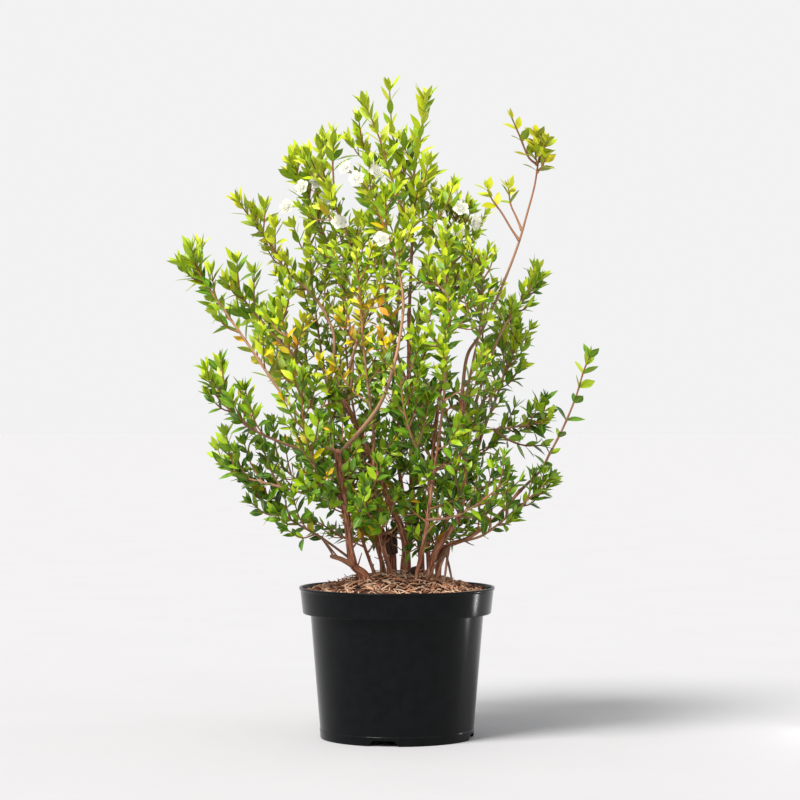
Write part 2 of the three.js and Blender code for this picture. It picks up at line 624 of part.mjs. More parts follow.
// A cane with its spurs, or the room for it, wider and longer by `extra`.
function caneSolid(cane, extra = 0) {
  const rods = [cane, ...(cane.spurs ?? [])].map((rod) => {
    const path = rod.path.map(vector);
    const [start, end] = [headingOn(path, 0), headingOn(path, 1)];
    path[0].addScaledVector(start, -extra);
    path.at(-1).addScaledVector(end, extra);
    const [sides, steps] = rod === cane ? [CANE_SIDES, path.length - 1] : [SPUR_SIDES, 2];
    return taperedTube(path, rod.radii[0] + extra, rod.radii[1] + extra, sides, steps);
  });
  return wasm.Manifold.union(rods);
}

// The main rod of a leafy stem, from the middle of its cane, and the nodes that the model keeps:
// every few leaf nodes from the tip down, the nodes of every third side shoot, and those of the forks.
function spineOf(stem, seed) {
  const cane = CANES.find((each) => each.name === stem.cane);
  const points = [pointOn(canePath(cane), stem.at), ...stem.path.map(vector)];
  const across = aside(headingOn(points, 0), 6.28 * draw(seed));
  const spine = { points, across, radii: [stem.radius, SPINE_TIP_RADIUS], bare: stem.bare, seed };
  const nodes = nodesOf(spine);
  for (let number = SHOOT_START; number < stem.shoots; number += SHOOT_STRIDE) {
    const reached = ((number + 0.5) / stem.shoots) * (stem.shootsTo ?? 1);
    const node = nodes[Math.round((nodes.length - 2) * reached)];
    node.shoots.push(number);
    node.half = SHOOT_ROOT / 2;
  }
  const forked = (stem.forks ?? []).map((fork, number) => {
    const node = { share: fork.from, half: FORK_ROOT / 2, sides: [], shoots: [], grown: [] };
    node.grown.push(forkFrom(spine, node, fork, number));
    return node;
  });
  spine.nodes = nodes
    .filter(({ toTip, shoots }) => toTip % LIMB_LEAF_STRIDE === 0 || shoots.length)
    .filter(({ share }) => forked.every((node) => Math.abs(node.share - share) > 0.02))
    .concat(forked)
    .sort((low, high) => low.share - high.share);
  return spine;
}

// The solids placed so far, each with its owner, so that nothing new crosses what is there.
const placed = [];

function place(owner, solid, rod = null, leaf = false) {
  placed.push({ owner, rod, leaf, solid, box: solid.boundingBox() });
}

function boxesMeet(a, b) {
  return [0, 1, 2].every((axis) => a.min[axis] < b.max[axis] && b.min[axis] < a.max[axis]);
}

// Whether a solid is clear of all that is placed, apart from the rod it grows on.
function isClear(solid, parent) {
  const box = solid.boundingBox();
  const near = placed.filter((other) => (other.leaf || other.rod !== parent) && boxesMeet(box, other.box));
  return near.every((other) => solid.intersect(other.solid).isEmpty());
}

// A rod alone, and the room it needs.
function bareRod({ radii, nodes, ...rod }, extra) {
  const skin = new Skin();
  const plain = nodes.map((node) => ({ ...node, grown: [] }));
  growRod(skin, { ...rod, radii: radii.map((radius) => radius + extra), nodes: plain });
  return skin.solid();
}

const roomOf = (rod) => bareRod(rod, ROOM);

// The room of a leaf, a little wider and thicker than the leaf.
function leafRoom(leaf) {
  const wide = { ...leaf, length: leaf.length + 2 * GAP, width: leaf.width + 3 * GAP };
  const { rim, top, under } = leafShape(wide, LEAF_THICKNESS + 2 * GAP);
  return lens([leaf.root.clone().addScaledVector(leaf.heading, 0.5), ...rim], top, under);
}

// Puts a leaf on a node, bent by a few degrees one way or another until it is clear, or leaves it off.
function putLeaf(owner, rod, node, side) {
  const leaf = leafAt(rod, node, side);
  for (const bend of [0, 0.3, -0.3, 0.6, -0.6]) {
    const bent = { ...leaf, heading: leaf.heading.clone().applyAxisAngle(leaf.face, bend) };
    const room = leafRoom(bent);
    if (!isClear(room, rod)) continue;
    place(owner, room, rod, true);
    node.grown.push({ side, leaf: bent });
    return;
  }
}

// A bloom on its stalk: five rounded petals as one cupped star, and the brush of its stamens.
function bloomHead(root, [heartTriple, faceTriple]) {
  const [heart, face] = [vector(heartTriple), vector(faceTriple).normalize()];
  const petal = (2 * Math.PI) / PETAL_COUNT;
  const star = (radius, lift, turns) =>
    turns.map((turn) =>
      heart.clone().addScaledVector(face, lift).addScaledVector(aside(face, turn * petal), radius),
    );
  const fives = Array.from({ length: PETAL_COUNT }, (_, i) => i);
  const skin = new Skin();
  const stalk = heart.clone().sub(root).normalize();
  const foot = skin.ring(
    fives.map((i) => root.clone().addScaledVector(aside(stalk, i * petal), PEDICEL_RADIUS)),
  );
  const neck = skin.ring(star(1.5, -0.8, fives));
  const rim = skin.ring(
    fives.flatMap((i) => [
      ...star(PETAL_NOTCH_SHARE * COROLLA_RADIUS, PETAL_CUP * 0.4, [i]),
      ...star(COROLLA_RADIUS, PETAL_CUP, [i + 0.28, i + 0.72]),
    ]),
  );
  const eye = skin.ring(star(1.3, 0.8, fives));
  const brush = skin.ring(star(BRUSH_RADIUS, BRUSH_LENGTH, fives));
  skin.cap([...foot].reverse());
  skin.wall(foot, neck);
  fives.forEach((i) => {
    const next = (i + 1) % PETAL_COUNT;
    const edge = [rim[3 * i], rim[3 * i + 1], rim[3 * i + 2], rim[3 * next]];
    for (const [ring, flip] of [[neck, false], [eye, true]]) {
      const around = [
        [ring[i], edge[1], edge[0]], [ring[i], edge[2], edge[1]],
        [ring[i], ring[next], edge[2]], [ring[next], edge[3], edge[2]],
      ];
      skin.faces.push(...around.map(([p, q, r]) => (flip ? [p, r, q] : [p, q, r])));
    }
  });
  skin.wall(eye, brush);
  skin.cap(brush);
  return skin.solid();
}

function potSolid() {
  const bandFoot = POT_HEIGHT - BAND_HEIGHT;
  const bandTop = POT_HEIGHT - LIP_HEIGHT;
  const outline = [
    [0, 0], [CENTRE_FOOT_RADIUS, 0], [CENTRE_FOOT_RADIUS, FLOOR_LEVEL], [BASE_RADIUS - WALL, FLOOR_LEVEL],
    [BASE_RADIUS - WALL, 0], [BASE_RADIUS, 0], [SHOULDER_RADIUS, bandFoot], [BAND_FOOT_RADIUS, bandFoot],
    [RIM_RADIUS - LIP_OVERHANG, bandTop], [RIM_RADIUS, bandTop + 0.8], [RIM_RADIUS, POT_HEIGHT],
    [RIM_RADIUS - LIP_OVERHANG - WALL, POT_HEIGHT],
    [BAND_FOOT_RADIUS - WALL, bandFoot + WALL], [SHOULDER_RADIUS - WALL, bandFoot + WALL],
    [BASE_RADIUS - WALL + 0.15, FLOOR_LEVEL + WALL], [0, FLOOR_LEVEL + WALL],
  ].map(([radius, height]) => new THREE.Vector2(radius, height));
  const shell = solidFrom(new THREE.LatheGeometry(outline, POT_SIDES).rotateX(Math.PI / 2));
  const notch = new THREE.Shape([
    new THREE.Vector2(-NOTCH_FOOT_WIDTH / 2, -1),
    new THREE.Vector2(NOTCH_FOOT_WIDTH / 2, -1),
    new THREE.Vector2(NOTCH_TOP_WIDTH / 2, NOTCH_HEIGHT),
    new THREE.Vector2(-NOTCH_TOP_WIDTH / 2, NOTCH_HEIGHT),
  ]);
  const drain = new THREE.BoxGeometry(NOTCH_TOP_WIDTH, 8, 3 * WALL)
    .translate(0, BASE_RADIUS - WALL - 7, FLOOR_LEVEL + WALL / 2);
  const cuts = [];
  for (let i = 0; i < NOTCH_COUNT; i++) {
    const turn = radians(FIRST_NOTCH_DEG - 90 + (i * 360) / NOTCH_COUNT);
    const wedge = new THREE.ExtrudeGeometry(notch, { depth: NOTCH_DEPTH, bevelEnabled: false })
      .rotateX(Math.PI / 2)
      .translate(0, BASE_RADIUS + 5, 0);
    cuts.push(solidFrom(wedge.rotateZ(turn)), solidFrom(drain.clone().rotateZ(turn)));
  }
  return shell.subtract(wasm.Manifold.union(cuts));
}

// The pot's inner radius at a height above its floor.
function innerRadius(height) {
  const floor = FLOOR_LEVEL + WALL;
  const ledge = POT_HEIGHT - BAND_HEIGHT + WALL;
  const body = mix(BASE_RADIUS, SHOULDER_RADIUS, (height - floor) / (ledge - floor));
  const band = mix(BAND_FOOT_RADIUS, RIM_RADIUS - LIP_OVERHANG, (height - ledge) / (POT_HEIGHT - ledge));
  return (height < ledge ? body : band) - WALL;
}

// The mound's height at a radius, the mulch's small lumps on it, and the plain cone under the mulch.
const mound = (radius) => {
  const slope = Math.cos((radius / RIM_RADIUS) * (Math.PI / 2)) ** 1.3;
  return mix(MULCH_AT_WALL, MULCH_CROWN, slope);
};
const lump = (x, y) =>
  1.7 * Math.sin(0.17 * x + 1) * Math.sin(0.21 * y) + 1.2 * Math.sin(0.33 * x - 0.27 * y);
const MIX_EDGE = innerRadius(MULCH_AT_WALL - MULCH_DEPTH) - 2 * GAP;
const mixTop = (radius) => mix(MULCH_CROWN, MULCH_AT_WALL, radius / MIX_EDGE) - MULCH_DEPTH;

function mixSolid() {
  const bandFoot = POT_HEIGHT - BAND_HEIGHT + WALL;
  const outline = [
    [0, FLOOR_LEVEL + WALL + GAP], [BASE_RADIUS - WALL - GAP, FLOOR_LEVEL + WALL + GAP],
    [SHOULDER_RADIUS - WALL - GAP, bandFoot + GAP], [BAND_FOOT_RADIUS - WALL - GAP, bandFoot + GAP],
    [MIX_EDGE, mixTop(MIX_EDGE)], [0, mixTop(0)],
  ].map(([radius, height]) => new THREE.Vector2(radius, height));
  return solidFrom(new THREE.LatheGeometry(outline, MULCH_SIDES).rotateX(Math.PI / 2));
}

function mulchSolid() {
  const skin = new Skin();
  const ringAt = (radius, height) =>
    skin.ring(
      Array.from({ length: MULCH_SIDES }, (_, side) => {
        const turn = (2 * Math.PI * side) / MULCH_SIDES;
        const [x, y] = [radius * Math.cos(turn), radius * Math.sin(turn)];
        return new THREE.Vector3(x, y, height ?? mound(radius) + lump(x, y));
      }),
    );
  const bottom = ringAt(MIX_EDGE, mixTop(MIX_EDGE) + GAP);
  let last = ringAt(MIX_EDGE);
  const [under, crown] = skin.ring([vector([0, 0, mixTop(0) + GAP]), vector([0, 0, MULCH_CROWN])]);
  skin.fan(under, [...bottom].reverse());
  skin.wall(bottom, last);
  for (const radius of MULCH_RINGS) {
    const ring = ringAt(radius);
    skin.wall(last, ring);
    last = ring;
  }
  skin.fan(crown, last);
  const parts = [skin.solid()];
  for (let i = 0; i < CHIP_COUNT; i++) {
    const radius = 40 + 70 * Math.sqrt(draw(i + 400));
    const turn = i * GOLDEN_ANGLE;
    const chip = new THREE.BoxGeometry(mix(14, 24, draw(i + 500)), mix(4, 7, draw(i + 600)), 4);
    chip.rotateY(0.4 * (draw(i + 700) - 0.5)).rotateZ(6.28 * draw(i + 800));
    chip.translate(radius * Math.cos(turn), radius * Math.sin(turn), mound(radius) + 1.2);
    parts.push(solidFrom(chip));
  }
  return wasm.Manifold.union(parts);
}

const root = new THREE.Group();

function addPiece(name, solid, material) {
  const mesh = new THREE.Mesh(geometryFrom(solid), new THREE.MeshStandardMaterial(MATERIALS[material]));
  mesh.name = name;
  root.add(mesh);
}

// The pot, the mix and the mulch, with a plain hole for each cane
const holes = wasm.Manifold.union(CANES.map((cane) => caneSolid(cane, GAP)));
addPiece("pot", potSolid(), "pot");
addPiece("potting_mix", largestPiece(mixSolid().subtract(holes)), "mix");
addPiece("bark_mulch", largestPiece(mulchSolid().subtract(holes)), "mulch");

// The canes
for (const cane of CANES) {
  const solid = caneSolid(cane);
  place(cane.name, solid);
  addPiece(cane.name, solid, cane.material ?? "bark");
}

// The spines and forks of all leafy stems come first, so that blooms, shoots and leaves keep clear of them
const stems = LEAFY_STEMS.map((stem, number) => {
  const spine = spineOf(stem, 100 * (number + 1));
  const rods = [spine, ...spine.nodes.flatMap((node) => node.grown.map((fork) => fork.rod))];
  rods.forEach((rod) => place(stem.name, roomOf(rod), rod));
  return { ...stem, spine, rods };
});

for (const { name, stem, at, heads } of BLOOMS) {
  const { spine } = stems.find((each) => each.name === stem);
  const foot = pointOn(spine.points, at);
  const along = headingOn(spine.points, at);
  const out = new THREE.Vector3();
  heads.forEach(([heart]) => out.add(vector(heart).sub(foot)));
  out.addScaledVector(along, -out.dot(along)).normalize();
  foot.addScaledVector(out, FOOT_SHARE * radiusAt(spine, at) + 2 * GAP);
  const solid = wasm.Manifold.union(heads.map((head) => bloomHead(foot, head))).subtract(roomOf(spine));
  place(name, solid);
  addPiece(name, largestPiece(solid), "petal");
}

// The side shoots that are clear
for (const { name, spine, reach, rods } of stems)
  for (const node of spine.nodes)
    for (const number of node.shoots) {
      const shoot = shootFrom(spine, node, number, reach);
      const room = roomOf(shoot.rod);
      if (node.grown.length || !isClear(room, spine)) continue;
      place(name, room, shoot.rod);
      node.grown.push(shoot);
      rods.push(shoot.rod);
    }

// The leaves, and each stem as one solid with room for its cane and for the stems before it
const rooms = [];
for (const { name, cane, spine, rods } of stems) {
  for (const rod of rods)
    for (const node of rod.nodes) {
      const free = node.sides.filter((side) => !node.grown.some((each) => each.side === side));
      free.forEach((side) => putLeaf(name, rod, node, side));
    }
  const skin = new Skin();
  growRod(skin, spine);
  const stem = skin.solid();
  const crossing = rooms.filter((room) => !room.intersect(stem).isEmpty());
  const caneRoom = caneSolid(CANES.find((each) => each.name === cane), GAP);
  addPiece(name, largestPiece(stem.subtract(wasm.Manifold.union([caneRoom, ...crossing]))), "leaf");
  rooms.push(roomOf(spine));
}

export default root;
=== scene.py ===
# %% [markdown]
# A common myrtle in a black nursery pot
# The real plant is a young evergreen bush: woody canes rise from one root ball, fork into reddish
# twigs, and carry small glossy leaves in opposite pairs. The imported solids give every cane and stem
# its place. This lesson gives each of them its finished surface, one kind of piece after another.
# All shapes are worked out in millimetres, as in the solid model, and turned into metres at the end.

import math
from dataclasses import dataclass

import bmesh
import bpy
import numpy as np
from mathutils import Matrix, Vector
from mathutils.kdtree import KDTree


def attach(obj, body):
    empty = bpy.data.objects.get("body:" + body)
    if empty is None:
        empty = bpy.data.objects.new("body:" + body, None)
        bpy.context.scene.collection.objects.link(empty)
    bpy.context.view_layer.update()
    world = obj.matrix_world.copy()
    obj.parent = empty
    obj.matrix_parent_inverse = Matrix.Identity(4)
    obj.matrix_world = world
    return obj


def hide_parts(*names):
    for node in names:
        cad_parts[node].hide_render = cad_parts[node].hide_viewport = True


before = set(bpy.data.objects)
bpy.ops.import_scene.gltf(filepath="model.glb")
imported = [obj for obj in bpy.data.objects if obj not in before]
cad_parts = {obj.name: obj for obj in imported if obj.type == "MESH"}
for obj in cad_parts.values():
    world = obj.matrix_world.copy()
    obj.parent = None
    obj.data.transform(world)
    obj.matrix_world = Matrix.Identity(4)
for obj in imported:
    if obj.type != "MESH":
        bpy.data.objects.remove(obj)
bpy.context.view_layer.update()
print("solid nodes:", len(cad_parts))

# %% [markdown]
# Seeded chance and smooth paths
# Plants need chance, but the same plant has to grow each time. A hash of a seed does that, with no
# state that an earlier step could disturb. Canes and twigs bend, so each is a list of points with a
# smooth curve through them. Blender's curve objects could do it too, but leaves need the direction
# of the twig at any place on it, and that is simplest to ask of a formula. DRAWN_TURN is the widest
# turn that chance may give, in radians. ROOTED is the share of a twig's radius at which whatever
# grows on it starts, so that no gap shows.

# %% Chance and curves
MILLIMETRE = 0.001
UP = Vector((0, 0, 1))
BACK = Vector((0, 1, 0))
DRAWN_TURN = 6.28
ROOTED = 0.7


def draw(seed):
    """A number from 0 to 1, always the same for the same seed."""
    noise = math.sin(seed * 12.9898 + 78.233) * 43758.5453
    return noise - math.floor(noise)


def mix(low, high, share):
    return low + (high - low) * share


def eased(low, high, value):
    """0 below low, 1 above high, and a smooth rise between them."""
    share = min(1.0, max(0.0, (value - low) / (high - low)))
    return share * share * (3 - 2 * share)


def point_on(points, share):
    """The place at a share of the smooth curve through the points."""
    last = len(points) - 1
    first = min(int(share * last), last - 1)
    step = share * last - first
    here, there = points[first], points[first + 1]
    before = points[first - 1] if first else here * 2 - there
    after = points[first + 2] if first + 2 <= last else there * 2 - here
    pull, push = (there - before) * 0.5, (after - here) * 0.5
    bend = (there - here) * 3 - pull * 2 - push
    snap = (here - there) * 2 + pull + push
    return here + pull * step + bend * step**2 + snap * step**3


def heading_on(points, share):
    ahead = point_on(points, min(1, share + 0.01))
    return (ahead - point_on(points, max(0, share - 0.01))).normalized()


def length_of(points, samples=24):
    places = [point_on(points, i / samples) for i in range(samples + 1)]
    return sum((b - a).length for a, b in zip(places, places[1:]))


def aside(along, turn):
    """The direction square to along, turned by turn round it."""
    level = along.cross(BACK if abs(along.z) > 0.95 else UP).normalized()
    return level * math.cos(turn) + along.cross(level) * math.sin(turn)


def carried(points, across, shares):
    """The curve's place and axes at each share, with no twist from one to the next."""
    axes = []
    for share in shares:
        along = heading_on(points, share)
        across = (across - along * across.dot(along)).normalized()
        axes.append((point_on(points, share), along, across, along.cross(across)))
    return axes


print("a first draw:", round(draw(1), 4))

# %% [markdown]
# Gathering a mesh
# Thousands of leaves as thousands of objects would be slow to draw and hard to handle. Each piece
# gathers its parts in one mesh instead. Two things travel with every corner: its place on its own
# part, so that veins and grain follow that part, and its tint, so that no two leaves look alike.

# %% A basket for corners and faces
class Basket:
    def __init__(self):
        self.corners, self.places, self.tints, self.faces, self.slots = [], [], [], [], []
        self.count = 0

    def add(self, corners, faces, places, tint, slot=0):
        corners = np.asarray(corners, float).reshape(-1, 3)
        self.corners.append(corners)
        self.places.append(np.broadcast_to(np.asarray(places, float), corners.shape))
        self.tints.append(np.broadcast_to(np.asarray(tint, float), corners.shape))
        start = self.count
        self.faces.extend([tuple(start + i for i in face) for face in faces])
        self.slots.extend([slot] * len(faces))
        self.count += len(corners)


triangle_counts = []


def show(thing):
    bpy.context.scene.collection.objects.link(thing)


def make_piece(name, basket, materials, nodes=(), sharp=50):
    """One object from a basket, riding on the pot, in place of the solid nodes it dresses."""
    mesh = bpy.data.meshes.new(name)
    mesh.from_pydata((np.concatenate(basket.corners) * MILLIMETRE).tolist(), [], basket.faces)
    for title, values in (("place", basket.places), ("tint", basket.tints)):
        layer = mesh.attributes.new(title, "FLOAT_VECTOR", "POINT")
        layer.data.foreach_set("vector", np.concatenate(values).ravel())
    for material in materials:
        mesh.materials.append(material)
    mesh.polygons.foreach_set("material_index", basket.slots)
    mesh.shade_smooth()
    mesh.set_sharp_from_angle(angle=math.radians(sharp))
    piece = bpy.data.objects.new(name, mesh)
    show(piece)
    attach(piece, "root")
    if nodes:
        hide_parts(*nodes)
    triangle_counts.append(sum(len(face) - 2 for face in basket.faces))
    return piece


def weld(piece):
    """Merges corners that share a place, such as those of all columns at the axis."""
    shape = bmesh.new()
    shape.from_mesh(piece.data)
    bmesh.ops.remove_doubles(shape, verts=shape.verts, dist=1e-6)
    shape.to_mesh(piece.data)
    shape.free()


# %% A tube of rings
def ring_faces(rings, sides, closed=(True, True)):
    """The quads between rings of corners, and the caps at the two ends."""
    faces = []
    for low in range(rings - 1):
        for side in range(sides):
            next_side = (side + 1) % sides
            a, b = low * sides + side, low * sides + next_side
            faces.append((a, b, b + sides, a + sides))
    if closed[0]:
        faces.append(tuple(reversed(range(sides))))
    if closed[1]:
        faces.append(tuple((rings - 1) * sides + side for side in range(sides)))
    return faces


def add_tube(basket, axes, radii, sides, tints, slot=0, ridges=None, grain_start=0.0):
    """A round skin over carried axes. Ridges, if given, is a radius factor for each ring and side."""
    turns = np.arange(sides) * 2 * math.pi / sides
    centres = np.array([place for place, *_ in axes])
    across = np.array([axis[2] for axis in axes])
    over = np.array([axis[3] for axis in axes])
    reach = np.asarray(radii, float)[:, None] * (np.ones(sides) if ridges is None else ridges)
    out = np.cos(turns)[None, :, None] * across[:, None] + np.sin(turns)[None, :, None] * over[:, None]
    corners = centres[:, None] + reach[..., None] * out
    steps = np.linalg.norm(np.diff(centres, axis=0), axis=1)
    along = grain_start + np.concatenate([[0], np.cumsum(steps)])
    places = np.empty_like(corners)
    places[..., 0] = reach * np.cos(turns)
    places[..., 1] = reach * np.sin(turns)
    places[..., 2] = along[:, None]
    tinted = np.repeat(np.asarray(tints, float).reshape(len(axes), 1, 3), sides, axis=1)
    faces = ring_faces(len(axes), sides)
    basket.add(corners, faces, places.reshape(-1, 3), tinted.reshape(-1, 3), slot)


# %% [markdown]
# Building materials out of nodes
# A material here is a small tree of nodes. Writing each node by hand takes many lines, so a few
# helpers add a node, blend two colours, do sums and map a value to colours. Effects that several
# materials share go into groups, made once, with named sockets.

# %% Node helpers
def add_node(tree, kind, inputs=None, **settings):
    """Adds a node and fills its inputs: a socket is linked, and anything else is set."""
    made = tree.nodes.new(kind)
    for key, value in settings.items():
        setattr(made, key, value)
    for key, value in (inputs or {}).items():
        if isinstance(value, bpy.types.NodeSocket):
            tree.links.new(value, made.inputs[key])
        else:
            made.inputs[key].default_value = value
    return made


def blend(tree, share, first, second, way="MIX"):
    """The colour between two colours, or one blended on the other."""
    inputs = {0: share, 6: first, 7: second}
    return add_node(tree, "ShaderNodeMix", inputs, data_type="RGBA", blend_type=way).outputs[2]


def work(tree, way, first, second=0.0):
    """One step of arithmetic on values."""
    return add_node(tree, "ShaderNodeMath", {0: first, 1: second}, operation=way).outputs[0]


def spread(tree, value, low, high, new_low=0.0, new_high=1.0):
    """A value's range from low to high, stretched to a new range."""
    inputs = {0: value, 1: low, 2: high, 3: new_low, 4: new_high}
    return add_node(tree, "ShaderNodeMapRange", inputs).outputs[0]


def ramp(tree, value, stops):
    """A value turned into colours, from its lowest stop to its highest."""
    made = add_node(tree, "ShaderNodeValToRGB", {0: value})
    elements = made.color_ramp.elements
    elements[0].position, elements[0].color = stops[0]
    elements[1].position, elements[1].color = stops[-1]
    for position, shade in stops[1:-1]:
        elements.new(position).color = shade
    return made.outputs["Color"]


def attribute(tree, name):
    return add_node(tree, "ShaderNodeAttribute", attribute_name=name).outputs["Vector"]


def object_place(tree):
    return add_node(tree, "ShaderNodeTexCoord").outputs["Object"]


def stretched(tree, vector, factors):
    inputs = {0: vector, 1: factors}
    return add_node(tree, "ShaderNodeVectorMath", inputs, operation="MULTIPLY").outputs[0]


def in_metres(tree, place):
    return stretched(tree, place, (MILLIMETRE,) * 3)


def split(tree, vector):
    return add_node(tree, "ShaderNodeSeparateXYZ", {0: vector}).outputs


def parts_of(tree, name):
    """The three numbers that each corner carries under a name."""
    return split(tree, attribute(tree, name))


def lead(tree, source, target):
    tree.links.new(source, target)


def coat(tree, shader, base, roughness):
    """Leads a colour and a roughness into the shader."""
    lead(tree, base, shader.inputs["Base Color"])
    lead(tree, roughness, shader.inputs["Roughness"])


def bump(tree, shader, height, depth, strength=1.0):
    """Fine relief from a height, as deep as depth in metres."""
    inputs = {"Height": height, "Distance": depth, "Strength": strength}
    lead(tree, add_node(tree, "ShaderNodeBump", inputs).outputs[0], shader.inputs["Normal"])


def new_material(name, **constants):
    """A material with its Principled shader, whose constants are set on its own sockets."""
    material = bpy.data.materials.new(name)
    material.use_nodes = True
    shader = material.node_tree.nodes["Principled BSDF"]
    for key, value in constants.items():
        shader.inputs[key.replace("_", " ")].default_value = value
    return material, material.node_tree, shader


def colour(red, green, blue):
    """A colour as painters write it, from 0 to 255, turned into the linear light that shaders use."""
    shares = [level / 255 for level in (red, green, blue)]
    linear = [share / 12.92 if share < 0.04 else ((share + 0.055) / 1.055) ** 2.4 for share in shares]
    return (*linear, 1.0)


# %% A group frame
def new_group(name, inputs, outputs):
    """A node group with named sockets. Returns the group, what goes in and where to lead it out."""
    group = bpy.data.node_groups.new(name, "ShaderNodeTree")
    for title, value in inputs.items():
        kind = "NodeSocketVector" if value is None else "NodeSocketFloat"
        socket = group.interface.new_socket(title, in_out="INPUT", socket_type=kind)
        if value is not None:
            socket.default_value = value
    for title in outputs:
        group.interface.new_socket(title, in_out="OUTPUT", socket_type="NodeSocketFloat")
    return group, group.nodes.new("NodeGroupInput").outputs, group.nodes.new("NodeGroupOutput").inputs


def place_group(tree, group, inputs):
    return add_node(tree, "ShaderNodeGroup", inputs, node_tree=group).outputs


# %% Grain group: specks and soft patches, for plastic, soil, leaves and petals
GRAIN, grain_in, grain_out = new_group("Grain", {"Where": None, "Size": 400.0}, ["Specks", "Patches"])
fine = {"Vector": grain_in["Where"], "Scale": grain_in["Size"], "Detail": 4.0}
coarse = {**fine, "Scale": work(GRAIN, "MULTIPLY", grain_in["Size"], 0.08)}
lead(GRAIN, add_node(GRAIN, "ShaderNodeTexNoise", fine).outputs["Fac"], grain_out["Specks"])
lead(GRAIN, add_node(GRAIN, "ShaderNodeTexNoise", coarse).outputs["Fac"], grain_out["Patches"])


def grain_of(tree, size):
    """The grain's two masks, in the space of the object."""
    return place_group(tree, GRAIN, {"Where": object_place(tree), "Size": size})


# %% Fibre group: streaks that run along a cane, twig or chip
FIBRE, fibre_in, fibre_out = new_group(
    "Fibre", {"Where": None, "Across": 900.0, "Stretch": 0.06}, ["Streaks", "Cracks"]
)
squeeze = add_node(FIBRE, "ShaderNodeCombineXYZ", {"X": 1.0, "Y": 1.0, "Z": fibre_in["Stretch"]}).outputs[0]
drawn = stretched(FIBRE, fibre_in["Where"], squeeze)
streaks = {"Vector": drawn, "Scale": fibre_in["Across"], "Detail": 5.0, "Roughness": 0.6}
lead(FIBRE, add_node(FIBRE, "ShaderNodeTexNoise", streaks).outputs["Fac"], fibre_out["Streaks"])
cells = {"Vector": drawn, "Scale": work(FIBRE, "MULTIPLY", fibre_in["Across"], 0.35)}
gaps = add_node(FIBRE, "ShaderNodeTexVoronoi", cells, feature="DISTANCE_TO_EDGE").outputs["Distance"]
lead(FIBRE, spread(FIBRE, gaps, 0.0, 0.12), fibre_out["Cracks"])


def fibre_of(tree, across, stretch):
    """The fibre's two masks, along the part that a corner belongs to."""
    where = in_metres(tree, attribute(tree, "place"))
    return place_group(tree, FIBRE, {"Where": where, "Across": across, "Stretch": stretch})


# %% Dust group: pale dust on whatever faces up
DUST, dust_in, dust_out = new_group("Dust", {"Amount": 0.5, "Size": 30.0}, ["Dust"])
facing = split(DUST, add_node(DUST, "ShaderNodeNewGeometry").outputs["Normal"])["Z"]
drift = {"Vector": object_place(DUST), "Scale": dust_in["Size"], "Detail": 6.0}
cloud = add_node(DUST, "ShaderNodeTexNoise", drift).outputs["Fac"]
resting = work(DUST, "MULTIPLY", spread(DUST, facing, 0.1, 1.0), spread(DUST, cloud, 0.35, 0.7))
lead(DUST, work(DUST, "MULTIPLY", resting, dust_in["Amount"]), dust_out["Dust"])
print("shared effects:", [group.name for group in bpy.data.node_groups])

# %% [markdown]
# The pot
# The real pot is thin black polypropylene, moulded, with a deep band under the rim and drain
# notches in its foot. A profile turned round the axis gives every ring of it. The notches are no
# cuts: the foot's corners are lifted where a notch is, and columns of corners stand exactly at the
# notch's own corners, so that its slanted sides stay crisp. The drain slots behind the notches are
# faces left out of both sides of the floor, with walls between the two openings.

# %% Sizes of the pot
POT_HEIGHT = 200
RIM_RADIUS = 130
BASE_RADIUS = 102
SHOULDER_RADIUS = 115
BAND_FOOT = 165
BAND_FOOT_RADIUS = 125
LIP_HEIGHT = 4
LIP_OVERHANG = 1.5
WALL = 2
FLOOR_LEVEL = 8
CENTRE_FOOT_RADIUS = 24
FIRST_NOTCH_DEG = -100
NOTCH_TURNS = [math.radians(FIRST_NOTCH_DEG + quarter * 90) for quarter in range(4)]
NOTCH_FOOT_WIDTH = 42
NOTCH_TOP_WIDTH = 27
NOTCH_HEIGHT = 7.4
SLOT_RADII = (89, 97)
SKIRT_LINE = 11.5
POT_COLUMNS = 144


# %% Rounding a profile's corners
def rounded(profile, radius=1.2, steps=3):
    """Each corner of a closed outline as a short arc, as a mould leaves it."""
    made = []
    for i, corner in enumerate(profile):
        middle = Vector(corner)
        before = Vector(profile[i - 1]) - middle
        after = Vector(profile[(i + 1) % len(profile)]) - middle
        if corner[0] == 0 or abs(before.normalized().cross(after.normalized())) < 0.01:
            made.append(middle)
            continue
        start = middle + before.normalized() * min(radius, before.length / 3)
        end = middle + after.normalized() * min(radius, after.length / 3)
        for step in range(steps + 1):
            share = step / steps
            made.append(start * (1 - share) ** 2 + middle * 2 * share * (1 - share) + end * share**2)
    return made


